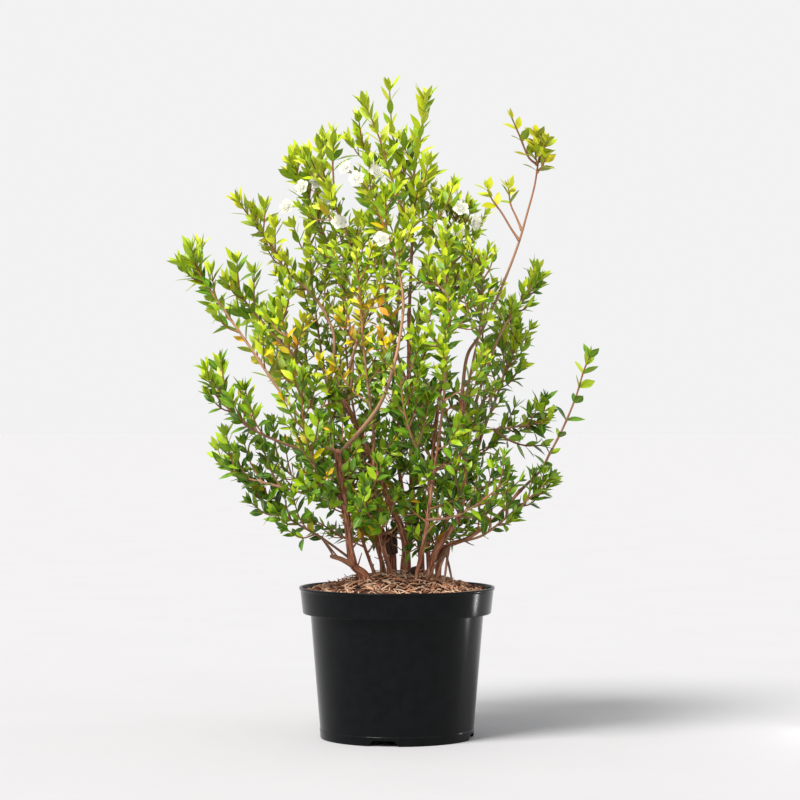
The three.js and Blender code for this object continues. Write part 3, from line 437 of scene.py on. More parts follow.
POT_PROFILE = rounded([
    (0, 0), (CENTRE_FOOT_RADIUS, 0), (CENTRE_FOOT_RADIUS, FLOOR_LEVEL), (SLOT_RADII[0], FLOOR_LEVEL),
    (SLOT_RADII[1], FLOOR_LEVEL), (BASE_RADIUS - WALL, FLOOR_LEVEL), (BASE_RADIUS - WALL, 0),
    (BASE_RADIUS, 0), (BASE_RADIUS + 0.9, SKIRT_LINE), (BASE_RADIUS + 0.3, SKIRT_LINE + 0.9),
    (SHOULDER_RADIUS, BAND_FOOT), (BAND_FOOT_RADIUS, BAND_FOOT),
    (RIM_RADIUS - LIP_OVERHANG, POT_HEIGHT - LIP_HEIGHT), (RIM_RADIUS, POT_HEIGHT - LIP_HEIGHT + 0.8),
    (RIM_RADIUS, POT_HEIGHT), (RIM_RADIUS - LIP_OVERHANG - WALL, POT_HEIGHT),
    (BAND_FOOT_RADIUS - WALL, BAND_FOOT + WALL), (SHOULDER_RADIUS - WALL, BAND_FOOT + WALL),
    (BASE_RADIUS - WALL + 0.2, FLOOR_LEVEL + WALL), (SLOT_RADII[1], FLOOR_LEVEL + WALL),
    (SLOT_RADII[0], FLOOR_LEVEL + WALL), (0, FLOOR_LEVEL + WALL),
])
print("corners in the pot's profile:", len(POT_PROFILE))


# %% Columns and notches
def from_notch(turn):
    """How far a turn is from the nearest notch's middle, along the foot."""
    return min(abs(math.remainder(turn - notch, 2 * math.pi)) for notch in NOTCH_TURNS) * BASE_RADIUS


def foot_lift(turn, radius, height):
    """The skirt's foot rises where a notch is, and all above the skirt's line stays."""
    if radius < BASE_RADIUS - WALL - 1 or height > SKIRT_LINE:
        return height
    slant = (NOTCH_FOOT_WIDTH / 2 - from_notch(turn)) * 2 / (NOTCH_FOOT_WIDTH - NOTCH_TOP_WIDTH)
    rise = min(1.0, max(0.0, slant)) * NOTCH_HEIGHT
    return mix(rise, SKIRT_LINE, height / SKIRT_LINE)


def pot_turns():
    """Columns evenly round the pot, and more of them at each notch's corners."""
    turns = [2 * math.pi * i / POT_COLUMNS for i in range(POT_COLUMNS)]
    for notch in NOTCH_TURNS:
        for width in (NOTCH_FOOT_WIDTH + 0.8, NOTCH_FOOT_WIDTH, NOTCH_TOP_WIDTH, NOTCH_TOP_WIDTH - 0.8):
            turns += [notch + width / 2 / BASE_RADIUS, notch - width / 2 / BASE_RADIUS]
    return sorted({round(turn % (2 * math.pi), 5) for turn in turns})


# %% The pot's faces
def pot_basket():
    turns, count = pot_turns(), len(POT_PROFILE)
    corners = [
        (radius * math.cos(turn), radius * math.sin(turn), foot_lift(turn, radius, height))
        for turn in turns for radius, height in POT_PROFILE
    ]
    marks = {i for i, point in enumerate(POT_PROFILE) if any(abs(point[0] - r) < 1e-3 for r in SLOT_RADII)}
    low_in, low_out, top_out, top_in = sorted(marks)
    faces = []
    slotted = [from_notch((turn + turns[(i + 1) % len(turns)]) / 2) < NOTCH_TOP_WIDTH / 2
               for i, turn in enumerate(turns)]
    for i in range(len(turns)):
        here, beside = i * count, (i + 1) % len(turns) * count
        for low in range(count - 1):
            if slotted[i] and low in (low_in, top_out):
                continue
            faces.append((here + low, beside + low, beside + low + 1, here + low + 1))
        if slotted[i]:
            faces.append((here + low_in, beside + low_in, beside + top_in, here + top_in))
            faces.append((here + top_out, beside + top_out, beside + low_out, here + low_out))
            if not slotted[i - 1]:
                faces.append((here + low_in, here + top_in, here + top_out, here + low_out))
            if not slotted[(i + 1) % len(turns)]:
                faces.append((beside + low_out, beside + top_out, beside + top_in, beside + low_in))
    basket = Basket()
    basket.add(corners, faces, (0, 0, 0), (0, 0, 0))
    return basket


# %% [markdown]
# Black plastic
# Moulded polypropylene is never quite black: it mirrors the room in a soft, slightly uneven way,
# and it holds a little dust on the rim and shoulder. The unevenness sits in the roughness and in a
# very low bump, and the dust comes from the shared group.

# %% The plastic's nodes
def black_plastic():
    material, tree, shader = new_material("black_plastic", Specular_IOR_Level=0.12)
    grain = grain_of(tree, 900.0)
    dust = place_group(tree, DUST, {"Amount": 0.14, "Size": 24.0})["Dust"]
    long_streaks = stretched(tree, object_place(tree), (1.0, 1.0, 0.12))
    wipes = {"Vector": long_streaks, "Scale": 60.0, "Detail": 3.0}
    wiped = add_node(tree, "ShaderNodeTexNoise", wipes).outputs["Fac"]
    black = blend(tree, spread(tree, grain["Patches"], 0.3, 0.7), colour(6, 8, 9), colour(12, 14, 16))
    dusty = blend(tree, dust, black, colour(120, 104, 84))
    satin = work(tree, "ADD", spread(tree, wiped, 0.3, 0.7, 0.13, 0.24), work(tree, "MULTIPLY", dust, 1.2))
    coat(tree, shader, dusty, satin)
    bump(tree, shader, grain["Specks"], 0.00008, 0.5)
    return material


pot = make_piece("pot_shell", pot_basket(), [black_plastic()], ["pot"], sharp=40)
weld(pot)
print("pot faces:", len(pot.data.polygons))

# %% [markdown]
# Potting mix and bark mulch
# The mix fills the pot and hides under the mulch, so its imported solid stays and only gets an earthy
# surface. The mulch is what shows: a low mound of coppery bark slivers and coconut fibre. A bumpy
# mound alone would look like clay. So more than a thousand slivers lie on it and stick out of it,
# with hundreds of thin curled strands between them, each a solid of its own with its own tint. The
# mound itself takes the darkest bark colour, as painted shade in the gaps between them.

# %% Earth on the solid mix
def earth():
    material, tree, shader = new_material("potting_earth")
    grain = grain_of(tree, 700.0)
    shade = ramp(tree, grain["Specks"], [(0.3, colour(24, 15, 10)), (0.55, colour(52, 35, 24)),
                                         (0.72, colour(96, 70, 50))])
    coat(tree, shader, shade, spread(tree, grain["Patches"], 0.3, 0.7, 0.8, 1.0))
    bump(tree, shader, grain["Specks"], 0.0012, 0.9)
    return material


mix_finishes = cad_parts["potting_mix"].data.materials
mix_finishes.clear()
mix_finishes.append(earth())
print("finish of the mix:", mix_finishes[0].name)

# %% The mound's shape
MULCH_AT_WALL = 189
MULCH_CROWN = 216
MULCH_DEPTH = 12


def mound(radius):
    slope = math.cos(min(1, radius / RIM_RADIUS) * math.pi / 2) ** 1.3
    return mix(MULCH_AT_WALL, MULCH_CROWN, slope)


def lump(x, y):
    return 1.7 * math.sin(0.17 * x + 1) * math.sin(0.21 * y) + 1.2 * math.sin(0.33 * x - 0.27 * y)


def inner_radius(height):
    """The pot's inside radius in its band."""
    share = (height - BAND_FOOT - WALL) / (POT_HEIGHT - BAND_FOOT - WALL)
    return mix(BAND_FOOT_RADIUS, RIM_RADIUS - LIP_OVERHANG, share) - WALL


BED_EDGE = inner_radius(MULCH_AT_WALL) - 0.4
print("radius of the mulch bed:", round(BED_EDGE, 1))


# %% The bed under the slivers
BED_ROUGHNESS = 1.3
BED_DEPTH_BELOW = 0.6
BED_TAPER = 2.2


def bed_basket(ring_step=3.2, columns=120):
    """A closed mound: a rough top, and a plain cone below it."""
    rings = int(BED_EDGE / ring_step)
    turns = [2 * math.pi * column / columns for column in range(columns)]
    corners, faces = [(0, 0, mound(0))], []
    for ring in range(1, rings + 1):
        radius = BED_EDGE * ring / rings
        for column, turn in enumerate(turns):
            x, y = radius * math.cos(turn), radius * math.sin(turn)
            rough = BED_ROUGHNESS * (draw(ring * 131 + column) - 0.5) if ring < rings else 0
            corners.append((x, y, mound(radius) + lump(x, y) + rough - BED_DEPTH_BELOW))
    skirt = len(corners)
    edge, foot = BED_EDGE - BED_TAPER, MULCH_AT_WALL - MULCH_DEPTH
    corners += [(edge * math.cos(turn), edge * math.sin(turn), foot) for turn in turns]
    corners.append((0, 0, MULCH_CROWN - MULCH_DEPTH))
    for column in range(columns):
        beside = (column + 1) % columns
        faces.append((0, 1 + column, 1 + beside))
        faces.append((skirt + columns, skirt + beside, skirt + column))
        for ring in range(rings):
            low = 1 + ring * columns
            faces.append((low + column, low + columns + column, low + columns + beside, low + beside))
    basket = Basket()
    # The bed takes the darkest tint of the bark: painted shade for the gaps between the slivers.
    basket.add(corners, faces, corners, (0, 1, 0))
    return basket


# %% One sliver of bark
SLIVER_RINGS = 5


def add_sliver(basket, middle, heading, normal, size, bend, tint):
    """A bent, tapered splinter: a few cross-sections with four corners each."""
    length, width, thickness = size
    across = heading.cross(normal).normalized()
    corners, places = [], []
    for i in range(SLIVER_RINGS):
        along = i / (SLIVER_RINGS - 1) - 0.5
        taper = 1 - 0.75 * (2 * abs(along)) ** 3
        arch = bend * length * (0.25 - along * along)
        for side, level in ((-1, -1), (1, -1), (1, 1), (-1, 1)):
            shift = across * (side * width / 2 * taper) + normal * (arch + level * thickness / 2 * taper)
            corners.append(middle + heading * (along * length) + shift)
            places.append((side * width / 2, level * thickness / 2, along * length + 40 * tint[2]))
    basket.add(corners, ring_faces(SLIVER_RINGS, 4), places, tint)


# %% Where each sliver and strand lies
SLIVER_COUNT = 1400
SLIVER_LENGTH = (8, 25)
SLIVER_WIDTH = (1.1, 3.6)
SLIVER_THICKNESS = (0.7, 1.4)
STRAND_COUNT = 420
STRAND_LENGTH = (10, 26)
STRAND_RADIUS = (0.45, 0.85)
STRAND_STEPS = 6
SCRAPS_EDGE = BED_EDGE - 5
SCRAPS_TOP = POT_HEIGHT + 14
WALL_ROOM = 3
GOLDEN_ANGLE = 2.39996


def lying(i, lift):
    """The place of the i-th scrap on the mound, evenly spread, and the way it lies."""
    radius = SCRAPS_EDGE * math.sqrt((i + 0.5) / SLIVER_COUNT)
    turn = i * GOLDEN_ANGLE
    x, y = radius * math.cos(turn), radius * math.sin(turn)
    slope = (mound(radius + 2) - mound(radius - 2)) / 4
    normal = Vector((-slope * math.cos(turn), -slope * math.sin(turn), 1)).normalized()
    way = DRAWN_TURN * draw(i + 0.3)
    heading = Vector((math.cos(way), math.sin(way), 1.5 * (draw(i + 0.7) - 0.4)))
    heading = (heading - normal * heading.dot(normal) * 0.3).normalized()
    return Vector((x, y, mound(radius) + lump(x, y) + lift)), heading, normal


def fitted(length, middle, heading):
    """A scrap's length, cut so that neither end reaches the pot's wall."""
    room = inner_radius(middle.z) - WALL_ROOM - middle.xy.length
    outwards = abs(heading.xy.dot(middle.xy.normalized()))
    return min(length, 2 * room / max(0.2, outwards))


def lay_slivers(basket):
    for i in range(SLIVER_COUNT):
        middle, heading, normal = lying(i, mix(-0.6, 4.2, draw(i + 0.1)))
        middle.z = min(middle.z, SCRAPS_TOP)
        length = fitted(mix(*SLIVER_LENGTH, draw(i + 11) ** 2), middle, heading)
        width = mix(*SLIVER_WIDTH, draw(i + 23) ** 2)
        thickness = mix(*SLIVER_THICKNESS, draw(i + 37))
        bend = 0.5 * (draw(i + 5) - 0.3)
        tint = [draw(i + each) for each in (41, 43, 47)]
        add_sliver(basket, middle, heading, normal, (length, width, thickness), bend, tint)


def lay_strands(basket):
    shares = [step / STRAND_STEPS for step in range(STRAND_STEPS + 1)]
    for i in range(STRAND_COUNT):
        spot = i * SLIVER_COUNT / STRAND_COUNT + 0.37
        middle, heading, normal = lying(spot, mix(0.5, 4.5, draw(i + 0.2)))
        across = heading.cross(normal)
        reach = mix(*STRAND_LENGTH, draw(i + 71)) * (1 - 0.4 * middle.xy.length / BED_EDGE)
        reach = fitted(reach, middle, heading)
        curl = (draw(i + 73) - 0.5) * reach
        start = middle - heading * reach / 2
        arch = middle + across * curl * 0.7 + normal * mix(0.5, 3.5, draw(i + 97))
        end = middle + heading * reach / 2 - normal + across * curl
        axes = carried([start, arch, end], normal, shares)
        radii = [mix(*STRAND_RADIUS, draw(i + 79)) * mix(1, 0.6, share) for share in shares]
        tint = (0.75 + 0.25 * draw(i + 83), 0, 0.9)
        add_tube(basket, axes, radii, 4, [tint] * len(shares))


# %% Coppery bark
def coppery_bark():
    material, tree, shader = new_material("coppery_bark")
    tint = parts_of(tree, "tint")
    fibre = fibre_of(tree, 1500.0, 0.12)
    base = ramp(tree, tint["X"], [(0.0, colour(84, 44, 30)), (0.3, colour(158, 92, 60)),
                                  (0.65, colour(214, 150, 108)), (1.0, colour(252, 218, 186))])
    # Tint Y darkens the bark: at random on slivers, as old bark, and fully on the bed, as painted shade in
    # the gaps.
    aged = blend(tree, spread(tree, tint["Y"], 0.66, 1.0, 0.0, 0.9), base, colour(46, 24, 18))
    grained = blend(tree, spread(tree, fibre["Streaks"], 0.35, 0.65, 0.3, 0.0), aged, colour(60, 32, 20))
    coat(tree, shader, grained, spread(tree, fibre["Streaks"], 0.3, 0.7, 0.95, 0.7))
    bump(tree, shader, fibre["Streaks"], 0.0006, 0.8)
    return material


MULCH_BARK = coppery_bark()
make_piece("mulch_bed", bed_basket(), [MULCH_BARK], ["bark_mulch"])
scraps = Basket()
lay_slivers(scraps)
lay_strands(scraps)
make_piece("mulch_slivers", scraps, [MULCH_BARK], ["bark_mulch"], sharp=35)
print("mulch faces:", len(scraps.faces))

# %% [markdown]
# The woody canes
# Old myrtle wood is reddish brown, and its bark comes off in thin strips that run along the cane.
# Each cane follows the path that the solid model gives it. A row of plain cylinders would look
# sawn, so its skin is a tube with many rings, and a sum of slow waves swells and ridges it, more
# where a stem leaves it and where it meets the mulch. Its far end is rounded into a knot, because a
# stem grows on from there. Short dead twigs stand on the canes, bare roots show at the foot of the
# low right one, and the old dark stump ends in a torn knot with splinters round it.

# %% Where the canes stand
# Radii are those at the foot and at the far end. A spur is a short branch of old wood.
CANES = {
    "left_cane": dict(radii=(6, 3.8), path=[(-28, -32, 150), (-40, -38, 212), (-58, -44, 234),
        (-65, -54, 289), (-71, -62, 328), (-77, -70, 380)],
        spurs=[
            dict(radii=(4, 3), path=[(-52, -42, 226), (-70, -49, 238), (-85, -52, 243)]),
            dict(radii=(1.4, 1), path=[(-82, -52, 242), (-92, -54, 258), (-104, -55, 273)]),
            dict(radii=(1.4, 1), path=[(-76, -50, 240), (-88, -62, 256), (-98, -66, 270)]),
        ]),
    "main_trunk": dict(radii=(5.8, 3.5), path=[(14, 0, 150), (10, 0, 215), (11, 2, 255), (3, 4, 284),
        (-8, 6, 308), (-35, 8, 373), (-63, 10, 431), (-73, 10, 451)]),
    "centre_cane": dict(radii=(4.9, 2.3), path=[(36, 17, 150), (33, 16, 216), (31, 15, 255),
        (21, 14, 317), (19, 12, 395), (16, 10, 475), (16, 8, 560)]),
    "old_stump": dict(radii=(4.8, 5.4), path=[(-1, 26, 150), (-5, 26, 214), (-7, 26, 247)],
        spurs=[
            dict(radii=(7.4, 9.6), path=[(-7, 26, 242), (-9, 25, 256), (-10, 24, 267)]),
            dict(radii=(3.4, 1.2), path=[(-15, 28, 246), (-22, 33, 254), (-26, 37, 262)]),
            dict(radii=(3.6, 1.1), path=[(-5, 22, 262), (-2, 21, 273), (1, 20, 283)]),
            dict(radii=(3.2, 1), path=[(-15, 24, 262), (-18, 23, 271), (-20, 22, 279)]),
        ]),
    "right_cane": dict(radii=(4.7, 2.6), path=[(38, -26, 150), (43, -26, 216), (50, -26, 246),
        (64, -28, 268), (82, -30, 296), (90, -31, 341), (87, -32, 395), (85, -32, 447)]),
    "low_right_cane": dict(radii=(3.4, 2), path=[(60, -6, 150), (54, -8, 214), (60, -10, 250),
        (97, -20, 267), (135, -26, 297), (161, -30, 327)]),
    "right_mid_cane": dict(radii=(3, 2.1), path=[(60, 22, 150), (56, 22, 212), (68, 26, 300),
        (86, 28, 380), (104, 28, 440)]),
    "upper_right_cane": dict(radii=(3.6, 2.2), path=[(46, 2, 150), (43, 1, 216), (41, -2, 260),
        (43, -4, 315), (50, -4, 400), (60, -4, 480)]),
    "thin_left_cane": dict(radii=(2.6, 1.8), path=[(-20, -14, 150), (-28, -16, 210), (-43, -20, 255),
        (-58, -20, 310), (-82, -16, 372)]),
    "front_cane": dict(radii=(3.8, 2), path=[(-2, -22, 150), (-8, -22, 214), (-19, -24, 256),
        (-27, -30, 300), (-30, -44, 350), (-30, -56, 400)]),
    "thin_back_cane": dict(radii=(2.4, 1.7), path=[(-20, 8, 150), (-20, 10, 213), (-24, 16, 252),
        (-34, 34, 310), (-46, 56, 380)]),
    "back_left_cane": dict(radii=(3.4, 2.1), path=[(-12, 46, 150), (-16, 50, 210), (-38, 74, 280),
        (-72, 104, 350), (-100, 128, 420)]),
    "back_mid_cane": dict(radii=(3.4, 2.1), path=[(14, 50, 150), (16, 54, 210), (12, 86, 290),
        (0, 118, 370), (-6, 140, 440)]),
    "back_right_cane": dict(radii=(3.4, 2.1), path=[(38, 46, 150), (42, 50, 208), (66, 76, 280),
        (100, 104, 350), (120, 124, 410)]),
    "front_right_cane": dict(radii=(2.8, 1.8), path=[(20, -46, 150), (24, -48, 208), (36, -70, 270),
        (46, -98, 340), (54, -118, 400)]),
}

# %% The stems that leave them
# Each stem leaves its cane at a share of the cane's path. Its bare share has no leaves, and its
# radius is that of its foot. Its side shoots stand between the bare share and its tip, or a share
# shoots_to of that, and reach scales their length. A fork starts at a share of the stem.
STEMS = {
    "far_left_stem": dict(cane="left_cane", at=1, bare=0.34, shoots=9, reach=0.55, radius=2.5,
        path=[(-100, -72, 393), (-149, -72, 455), (-193, -68, 519), (-236, -60, 580), (-254, -56, 607),
              (-267, -52, 628)]),
    "front_arch_stem": dict(cane="left_cane", at=0.985, bare=0.56, shoots=6, reach=0.7, radius=3,
        path=[(-51, -86, 404), (-24, -96, 439), (-9, -98, 475), (3, -94, 525), (8, -86, 581),
              (-4, -78, 640), (-24, -70, 692), (-44, -62, 734)]),
    "left_mid_stem": dict(cane="left_cane", at=0.93, bare=0.3, shoots=8, reach=0.6, radius=2,
        path=[(-132, -92, 386), (-170, -102, 402), (-198, -102, 418), (-218, -98, 448),
              (-228, -92, 498)],
        forks=[
            dict(start=0.68, bare=0.2, path=[(-220, -108, 440), (-234, -110, 456), (-242, -108, 472)]),
        ]),
    "left_low_stem": dict(cane="left_cane", at=0.68, bare=0.25, shoots=8, reach=0.65, radius=1.9,
        path=[(-124, -88, 328), (-168, -92, 340), (-198, -90, 348), (-222, -86, 362)]),
    "left_lowest_stem": dict(cane="left_cane", at=0.42, bare=0.14, shoots=8, reach=0.55, radius=1.7,
        path=[(-98, -66, 268), (-132, -70, 288), (-156, -68, 306), (-172, -62, 324)]),
    "trunk_left_stem": dict(cane="main_trunk", at=1, bare=0.22, shoots=7, reach=0.6, radius=2.5,
        path=[(-92, 14, 461), (-109, 18, 477), (-139, 22, 508), (-165, 22, 535), (-194, 18, 568),
              (-208, 14, 588), (-216, 12, 602)]),
    "trunk_up_stem": dict(cane="main_trunk", at=0.96, bare=0.3, shoots=8, reach=0.5, radius=2.4,
        path=[(-84, 30, 496), (-86, 40, 540), (-110, 44, 585), (-150, 40, 623), (-166, 36, 650),
              (-184, 30, 680), (-193, 26, 705)]),
    "trunk_right_stem": dict(cane="main_trunk", at=0.93, bare=0.34, shoots=9, reach=0.62, radius=2.4,
        path=[(-62, -4, 493), (-52, -8, 530), (-46, -10, 575), (-56, -10, 634), (-74, -8, 688),
              (-94, -8, 735), (-103, -8, 790)],
        forks=[
            dict(start=0.78, bare=0.3, path=[(-84, -16, 738), (-85, -20, 762), (-84, -22, 784)]),
        ]),
    "trunk_top_left_stem": dict(cane="main_trunk", at=0.88, bare=0.4, shoots=8, reach=0.42, radius=2.2,
        path=[(-60, 44, 490), (-66, 62, 560), (-84, 66, 630), (-106, 60, 690), (-124, 54, 732),
              (-143, 48, 768)]),
    "tall_centre_stem": dict(cane="centre_cane", at=1, bare=0.14, shoots=7, shoots_to=0.52, reach=0.5,
        radius=2.2,
        path=[(19, 8, 627), (21, 6, 704), (23, 4, 752), (28, 2, 782), (35, 0, 822), (38, -2, 848)],
        forks=[
            dict(start=0.38, bare=0.1, path=[(12, 10, 730), (2, 12, 768), (-6, 12, 802),
                (-10, 10, 862)]),
            dict(start=0.3, bare=0.2, path=[(8, -10, 700), (-10, -18, 750), (-24, -22, 796),
                (-42, -24, 838)]),
            dict(start=0.34, bare=0.3, path=[(30, -8, 722), (37, -12, 740), (40, -14, 758)]),
        ]),
    "centre_left_stem": dict(cane="centre_cane", at=0.8, bare=0.3, shoots=7, reach=0.55, radius=2,
        path=[(-2, 30, 520), (-14, 44, 580), (-20, 48, 650), (-27, 42, 720), (-38, 36, 772),
              (-50, 32, 800)]),
    "right_tall_stem": dict(cane="right_cane", at=1, bare=0.8, shoots=4, reach=0.36, radius=2.4,
        path=[(92, -32, 504), (108, -32, 532), (128, -32, 573), (147, -34, 619), (161, -34, 657),
              (171, -34, 692), (181, -34, 729), (186, -33, 760), (191, -32, 786)],
        forks=[
            dict(start=0.88, bare=0.1, path=[(173, -36, 768), (162, -38, 794), (151, -40, 819)]),
            dict(start=0.56, bare=0.42, path=[(150, -36, 674), (138, -38, 694), (126, -40, 710),
                (119, -42, 724)]),
            dict(start=0.6, bare=0.5, path=[(157, -31, 690), (150, -28, 706), (147, -26, 728)]),
        ]),
    "right_upper_stem": dict(cane="right_cane", at=0.93, bare=0.3, shoots=8, reach=0.46, radius=1.9,
        path=[(98, -50, 490), (108, -60, 540), (112, -62, 588), (110, -60, 616), (106, -56, 638)]),
    "right_long_stem": dict(cane="low_right_cane", at=1, bare=0.08, shoots=0, reach=0.5, radius=1.9,
        path=[(189, -32, 355), (201, -34, 377), (219, -36, 412), (235, -38, 451), (245, -38, 484),
              (253, -38, 505)]),
    "right_low_stem": dict(cane="low_right_cane", at=0.5, bare=0.16, shoots=7, reach=0.42, radius=1.8,
        path=[(112, -42, 270), (148, -54, 298), (176, -58, 322), (200, -58, 346)]),
    "right_mid_stem": dict(cane="right_mid_cane", at=1, bare=0.3, shoots=7, reach=0.28, radius=2,
        path=[(120, 28, 488), (139, 26, 537), (160, 24, 569), (174, 22, 588), (185, 20, 604),
              (189, 18, 624)]),
    "right_edge_stem": dict(cane="right_mid_cane", at=0.86, bare=0.22, shoots=7, reach=0.4, radius=1.9,
        path=[(124, 8, 408), (154, -2, 412), (180, -8, 416), (202, -12, 430)],
        forks=[
            dict(start=0.3, bare=0.12, path=[(146, -14, 396), (168, -22, 388), (190, -26, 388)]),
        ]),
    "right_back_stem": dict(cane="right_mid_cane", at=0.8, bare=0.25, shoots=7, reach=0.5, radius=1.9,
        path=[(120, 52, 440), (142, 60, 476), (154, 60, 512), (162, 56, 540)]),
    "upper_right_stem": dict(cane="upper_right_cane", at=1, bare=0.25, shoots=9, reach=0.55, radius=2.1,
        path=[(64, -8, 540), (66, -12, 594), (71, -14, 641), (77, -14, 677), (80, -14, 698)],
        forks=[
            dict(start=0.6, bare=0.3, path=[(62, -24, 660), (56, -28, 684), (54, -28, 706)]),
        ]),
    "upper_back_stem": dict(cane="upper_right_cane", at=0.85, bare=0.3, shoots=7, reach=0.65, radius=1.9,
        path=[(64, 22, 500), (72, 44, 560), (74, 52, 620), (70, 52, 676)]),
    "left_centre_stem": dict(cane="thin_left_cane", at=1, bare=0.15, shoots=8, reach=0.7, radius=1.8,
        path=[(-104, -24, 422), (-130, -30, 480), (-148, -30, 540), (-154, -26, 586)]),
    "left_front_stem": dict(cane="thin_left_cane", at=0.7, bare=0.2, shoots=8, reach=0.7, radius=1.7,
        path=[(-84, -44, 328), (-100, -82, 340), (-108, -118, 372), (-120, -134, 424),
              (-120, -134, 480)]),
    "front_centre_stem": dict(cane="front_cane", at=1, bare=0.12, shoots=9, reach=0.75, radius=1.9,
        path=[(-36, -62, 450), (-44, -62, 520), (-48, -58, 580), (-54, -50, 640)]),
    "front_low_stem": dict(cane="front_cane", at=0.5, bare=0.15, shoots=4, reach=0.65, radius=1.7,
        path=[(-30, -70, 288), (-38, -108, 308), (-42, -134, 344)]),
    "front_right_stem": dict(cane="front_right_cane", at=1, bare=0.12, shoots=9, reach=0.75, radius=1.8,
        path=[(60, -122, 450), (64, -120, 510), (66, -106, 570), (62, -92, 622)]),
    "front_right_low_stem": dict(cane="front_right_cane", at=0.58, bare=0.16, shoots=7, reach=0.65,
        radius=1.8,
        path=[(74, -106, 298), (108, -124, 318), (142, -128, 346)]),
    "front_mid_stem": dict(cane="front_right_cane", at=0.8, bare=0.18, shoots=7, reach=0.7, radius=1.7,
        path=[(26, -122, 384), (10, -140, 432), (4, -144, 482)]),
    "back_inner_stem": dict(cane="thin_back_cane", at=1, bare=0.12, shoots=9, reach=0.75, radius=1.7,
        path=[(-60, 76, 440), (-70, 90, 520), (-72, 96, 600), (-64, 96, 670)]),
    "back_left_out_stem": dict(cane="back_left_cane", at=1, bare=0.12, shoots=9, reach=0.75, radius=2,
        path=[(-130, 150, 460), (-156, 166, 510), (-172, 172, 560)]),
    "back_left_top_stem": dict(cane="back_left_cane", at=0.88, bare=0.2, shoots=9, reach=0.75, radius=1.9,
        path=[(-96, 112, 462), (-108, 112, 540), (-118, 106, 620), (-120, 98, 682)]),
    "back_left_low_stem": dict(cane="back_left_cane", at=0.6, bare=0.25, shoots=7, reach=0.7, radius=1.8,
        path=[(-106, 92, 320), (-146, 104, 346), (-180, 108, 384)]),
    "back_mid_top_stem": dict(cane="back_mid_cane", at=1, bare=0.12, shoots=9, reach=0.75, radius=2,
        path=[(-4, 148, 510), (2, 150, 590), (8, 140, 664), (10, 124, 730)]),
    "back_mid_out_stem": dict(cane="back_mid_cane", at=0.75, bare=0.2, shoots=4, reach=0.7, radius=1.9,
        path=[(22, 158, 390), (34, 190, 436), (38, 210, 486)]),
    "back_mid_low_stem": dict(cane="back_mid_cane", at=0.55, bare=0.25, shoots=4, reach=0.7, radius=1.8,
        path=[(-22, 128, 318), (-42, 162, 340), (-52, 190, 376)]),
    "back_right_stem": dict(cane="back_right_cane", at=1, bare=0.12, shoots=9, reach=0.75, radius=2,
        path=[(140, 142, 458), (156, 154, 510), (164, 158, 560)],
        forks=[
            dict(start=0.2, bare=0.3, path=[(120, 120, 500), (116, 112, 560), (106, 102, 630)]),
        ]),
}

# %% Where the blooms are
BLOOMS = {
    "bloom_trio_left": dict(stem="trunk_top_left_stem", at=0.84, heads=[
        ((-108, 30, 742), (0.3, -0.9, 0.3)), ((-127, 26, 733), (-0.5, -0.8, 0.3)),
        ((-96, 34, 722), (0.6, -0.8, -0.1))]),
    "bloom_left": dict(stem="trunk_top_left_stem", at=0.74, heads=[
        ((-148, 42, 708), (-0.4, -0.8, 0.4))]),
    "bloom_mid_left": dict(stem="trunk_right_stem", at=0.68, heads=[
        ((-76, -32, 682), (-0.1, -0.9, 0.4))]),
    "bloom_centre": dict(stem="front_arch_stem", at=0.8, heads=[((-20, -92, 656), (0.1, -0.9, 0.4))]),
    "bloom_trio_top": dict(stem="front_arch_stem", at=0.965, heads=[
        ((-66, -78, 750), (-0.7, -0.6, 0.5)), ((-52, -88, 735), (-0.2, -0.9, 0.4)),
        ((-28, -80, 744), (0.6, -0.7, 0.4))]),
    "bloom_pair_right": dict(stem="upper_right_stem", at=0.78, heads=[
        ((58, -38, 674), (-0.6, -0.8, 0.1)), ((79, -44, 671), (0.2, -1, 0.1))]),
    "bloom_pair_far_right": dict(stem="upper_right_stem", at=0.93, heads=[
        ((84, -38, 699), (0.1, -0.9, 0.5)), ((102, -34, 682), (0.8, -0.6, -0.1))]),
}


# %% Bark relief
def bark_relief(lengths, sides, seed, depth):
    """Radius factors for each ring and side: ridges that wind slowly along the wood."""
    turns = np.arange(sides) * 2 * math.pi / sides
    along = np.asarray(lengths)[:, None]
    waves = np.sin(2 * turns + along / 31 + seed) + 0.8 * np.sin(3 * turns - along / 19 + 2.1 * seed)
    waves = waves + 0.55 * np.sin(5 * turns + along / 8 + 3.3 * seed)
    waves = waves + 0.4 * np.sin(along / 4.3 + turns * 7)
    return 1 + depth * waves / 2


def swollen(radii, shares, length, places, gain=0.2, width=9.0):
    """Radii that are thicker near some places, as wood is where a branch leaves it."""
    made = []
    for radius, share in zip(radii, shares):
        near = max((math.exp(-(((share - place) * length / width) ** 2)) for place in places), default=0)
        made.append(radius * (1 + gain * near))
    return made


DOME = ((0.45, 0.9), (0.8, 0.62), (0.98, 0.25))


def rounded_end(axes, radii, radius):
    """Adds a dome of a few rings to the far end."""
    place, along, across, over = axes[-1]
    for reach, shrink in DOME:
        axes.append((place + along * (radius * reach), along, across, over))
        radii.append(radius * shrink)


# %% One cane as a skin
CANE_STEP = 5.0
CANE_RELIEF = 0.085
FLARE = 0.09
FLARE_HEIGHT = 13


def vectors(path):
    return [Vector(place) for place in path]


def root_flare(height):
    """How much thicker a cane is near the height at which it leaves the mulch."""
    return 1 + FLARE * math.exp(-(((height - MULCH_CROWN) / FLARE_HEIGHT) ** 2))


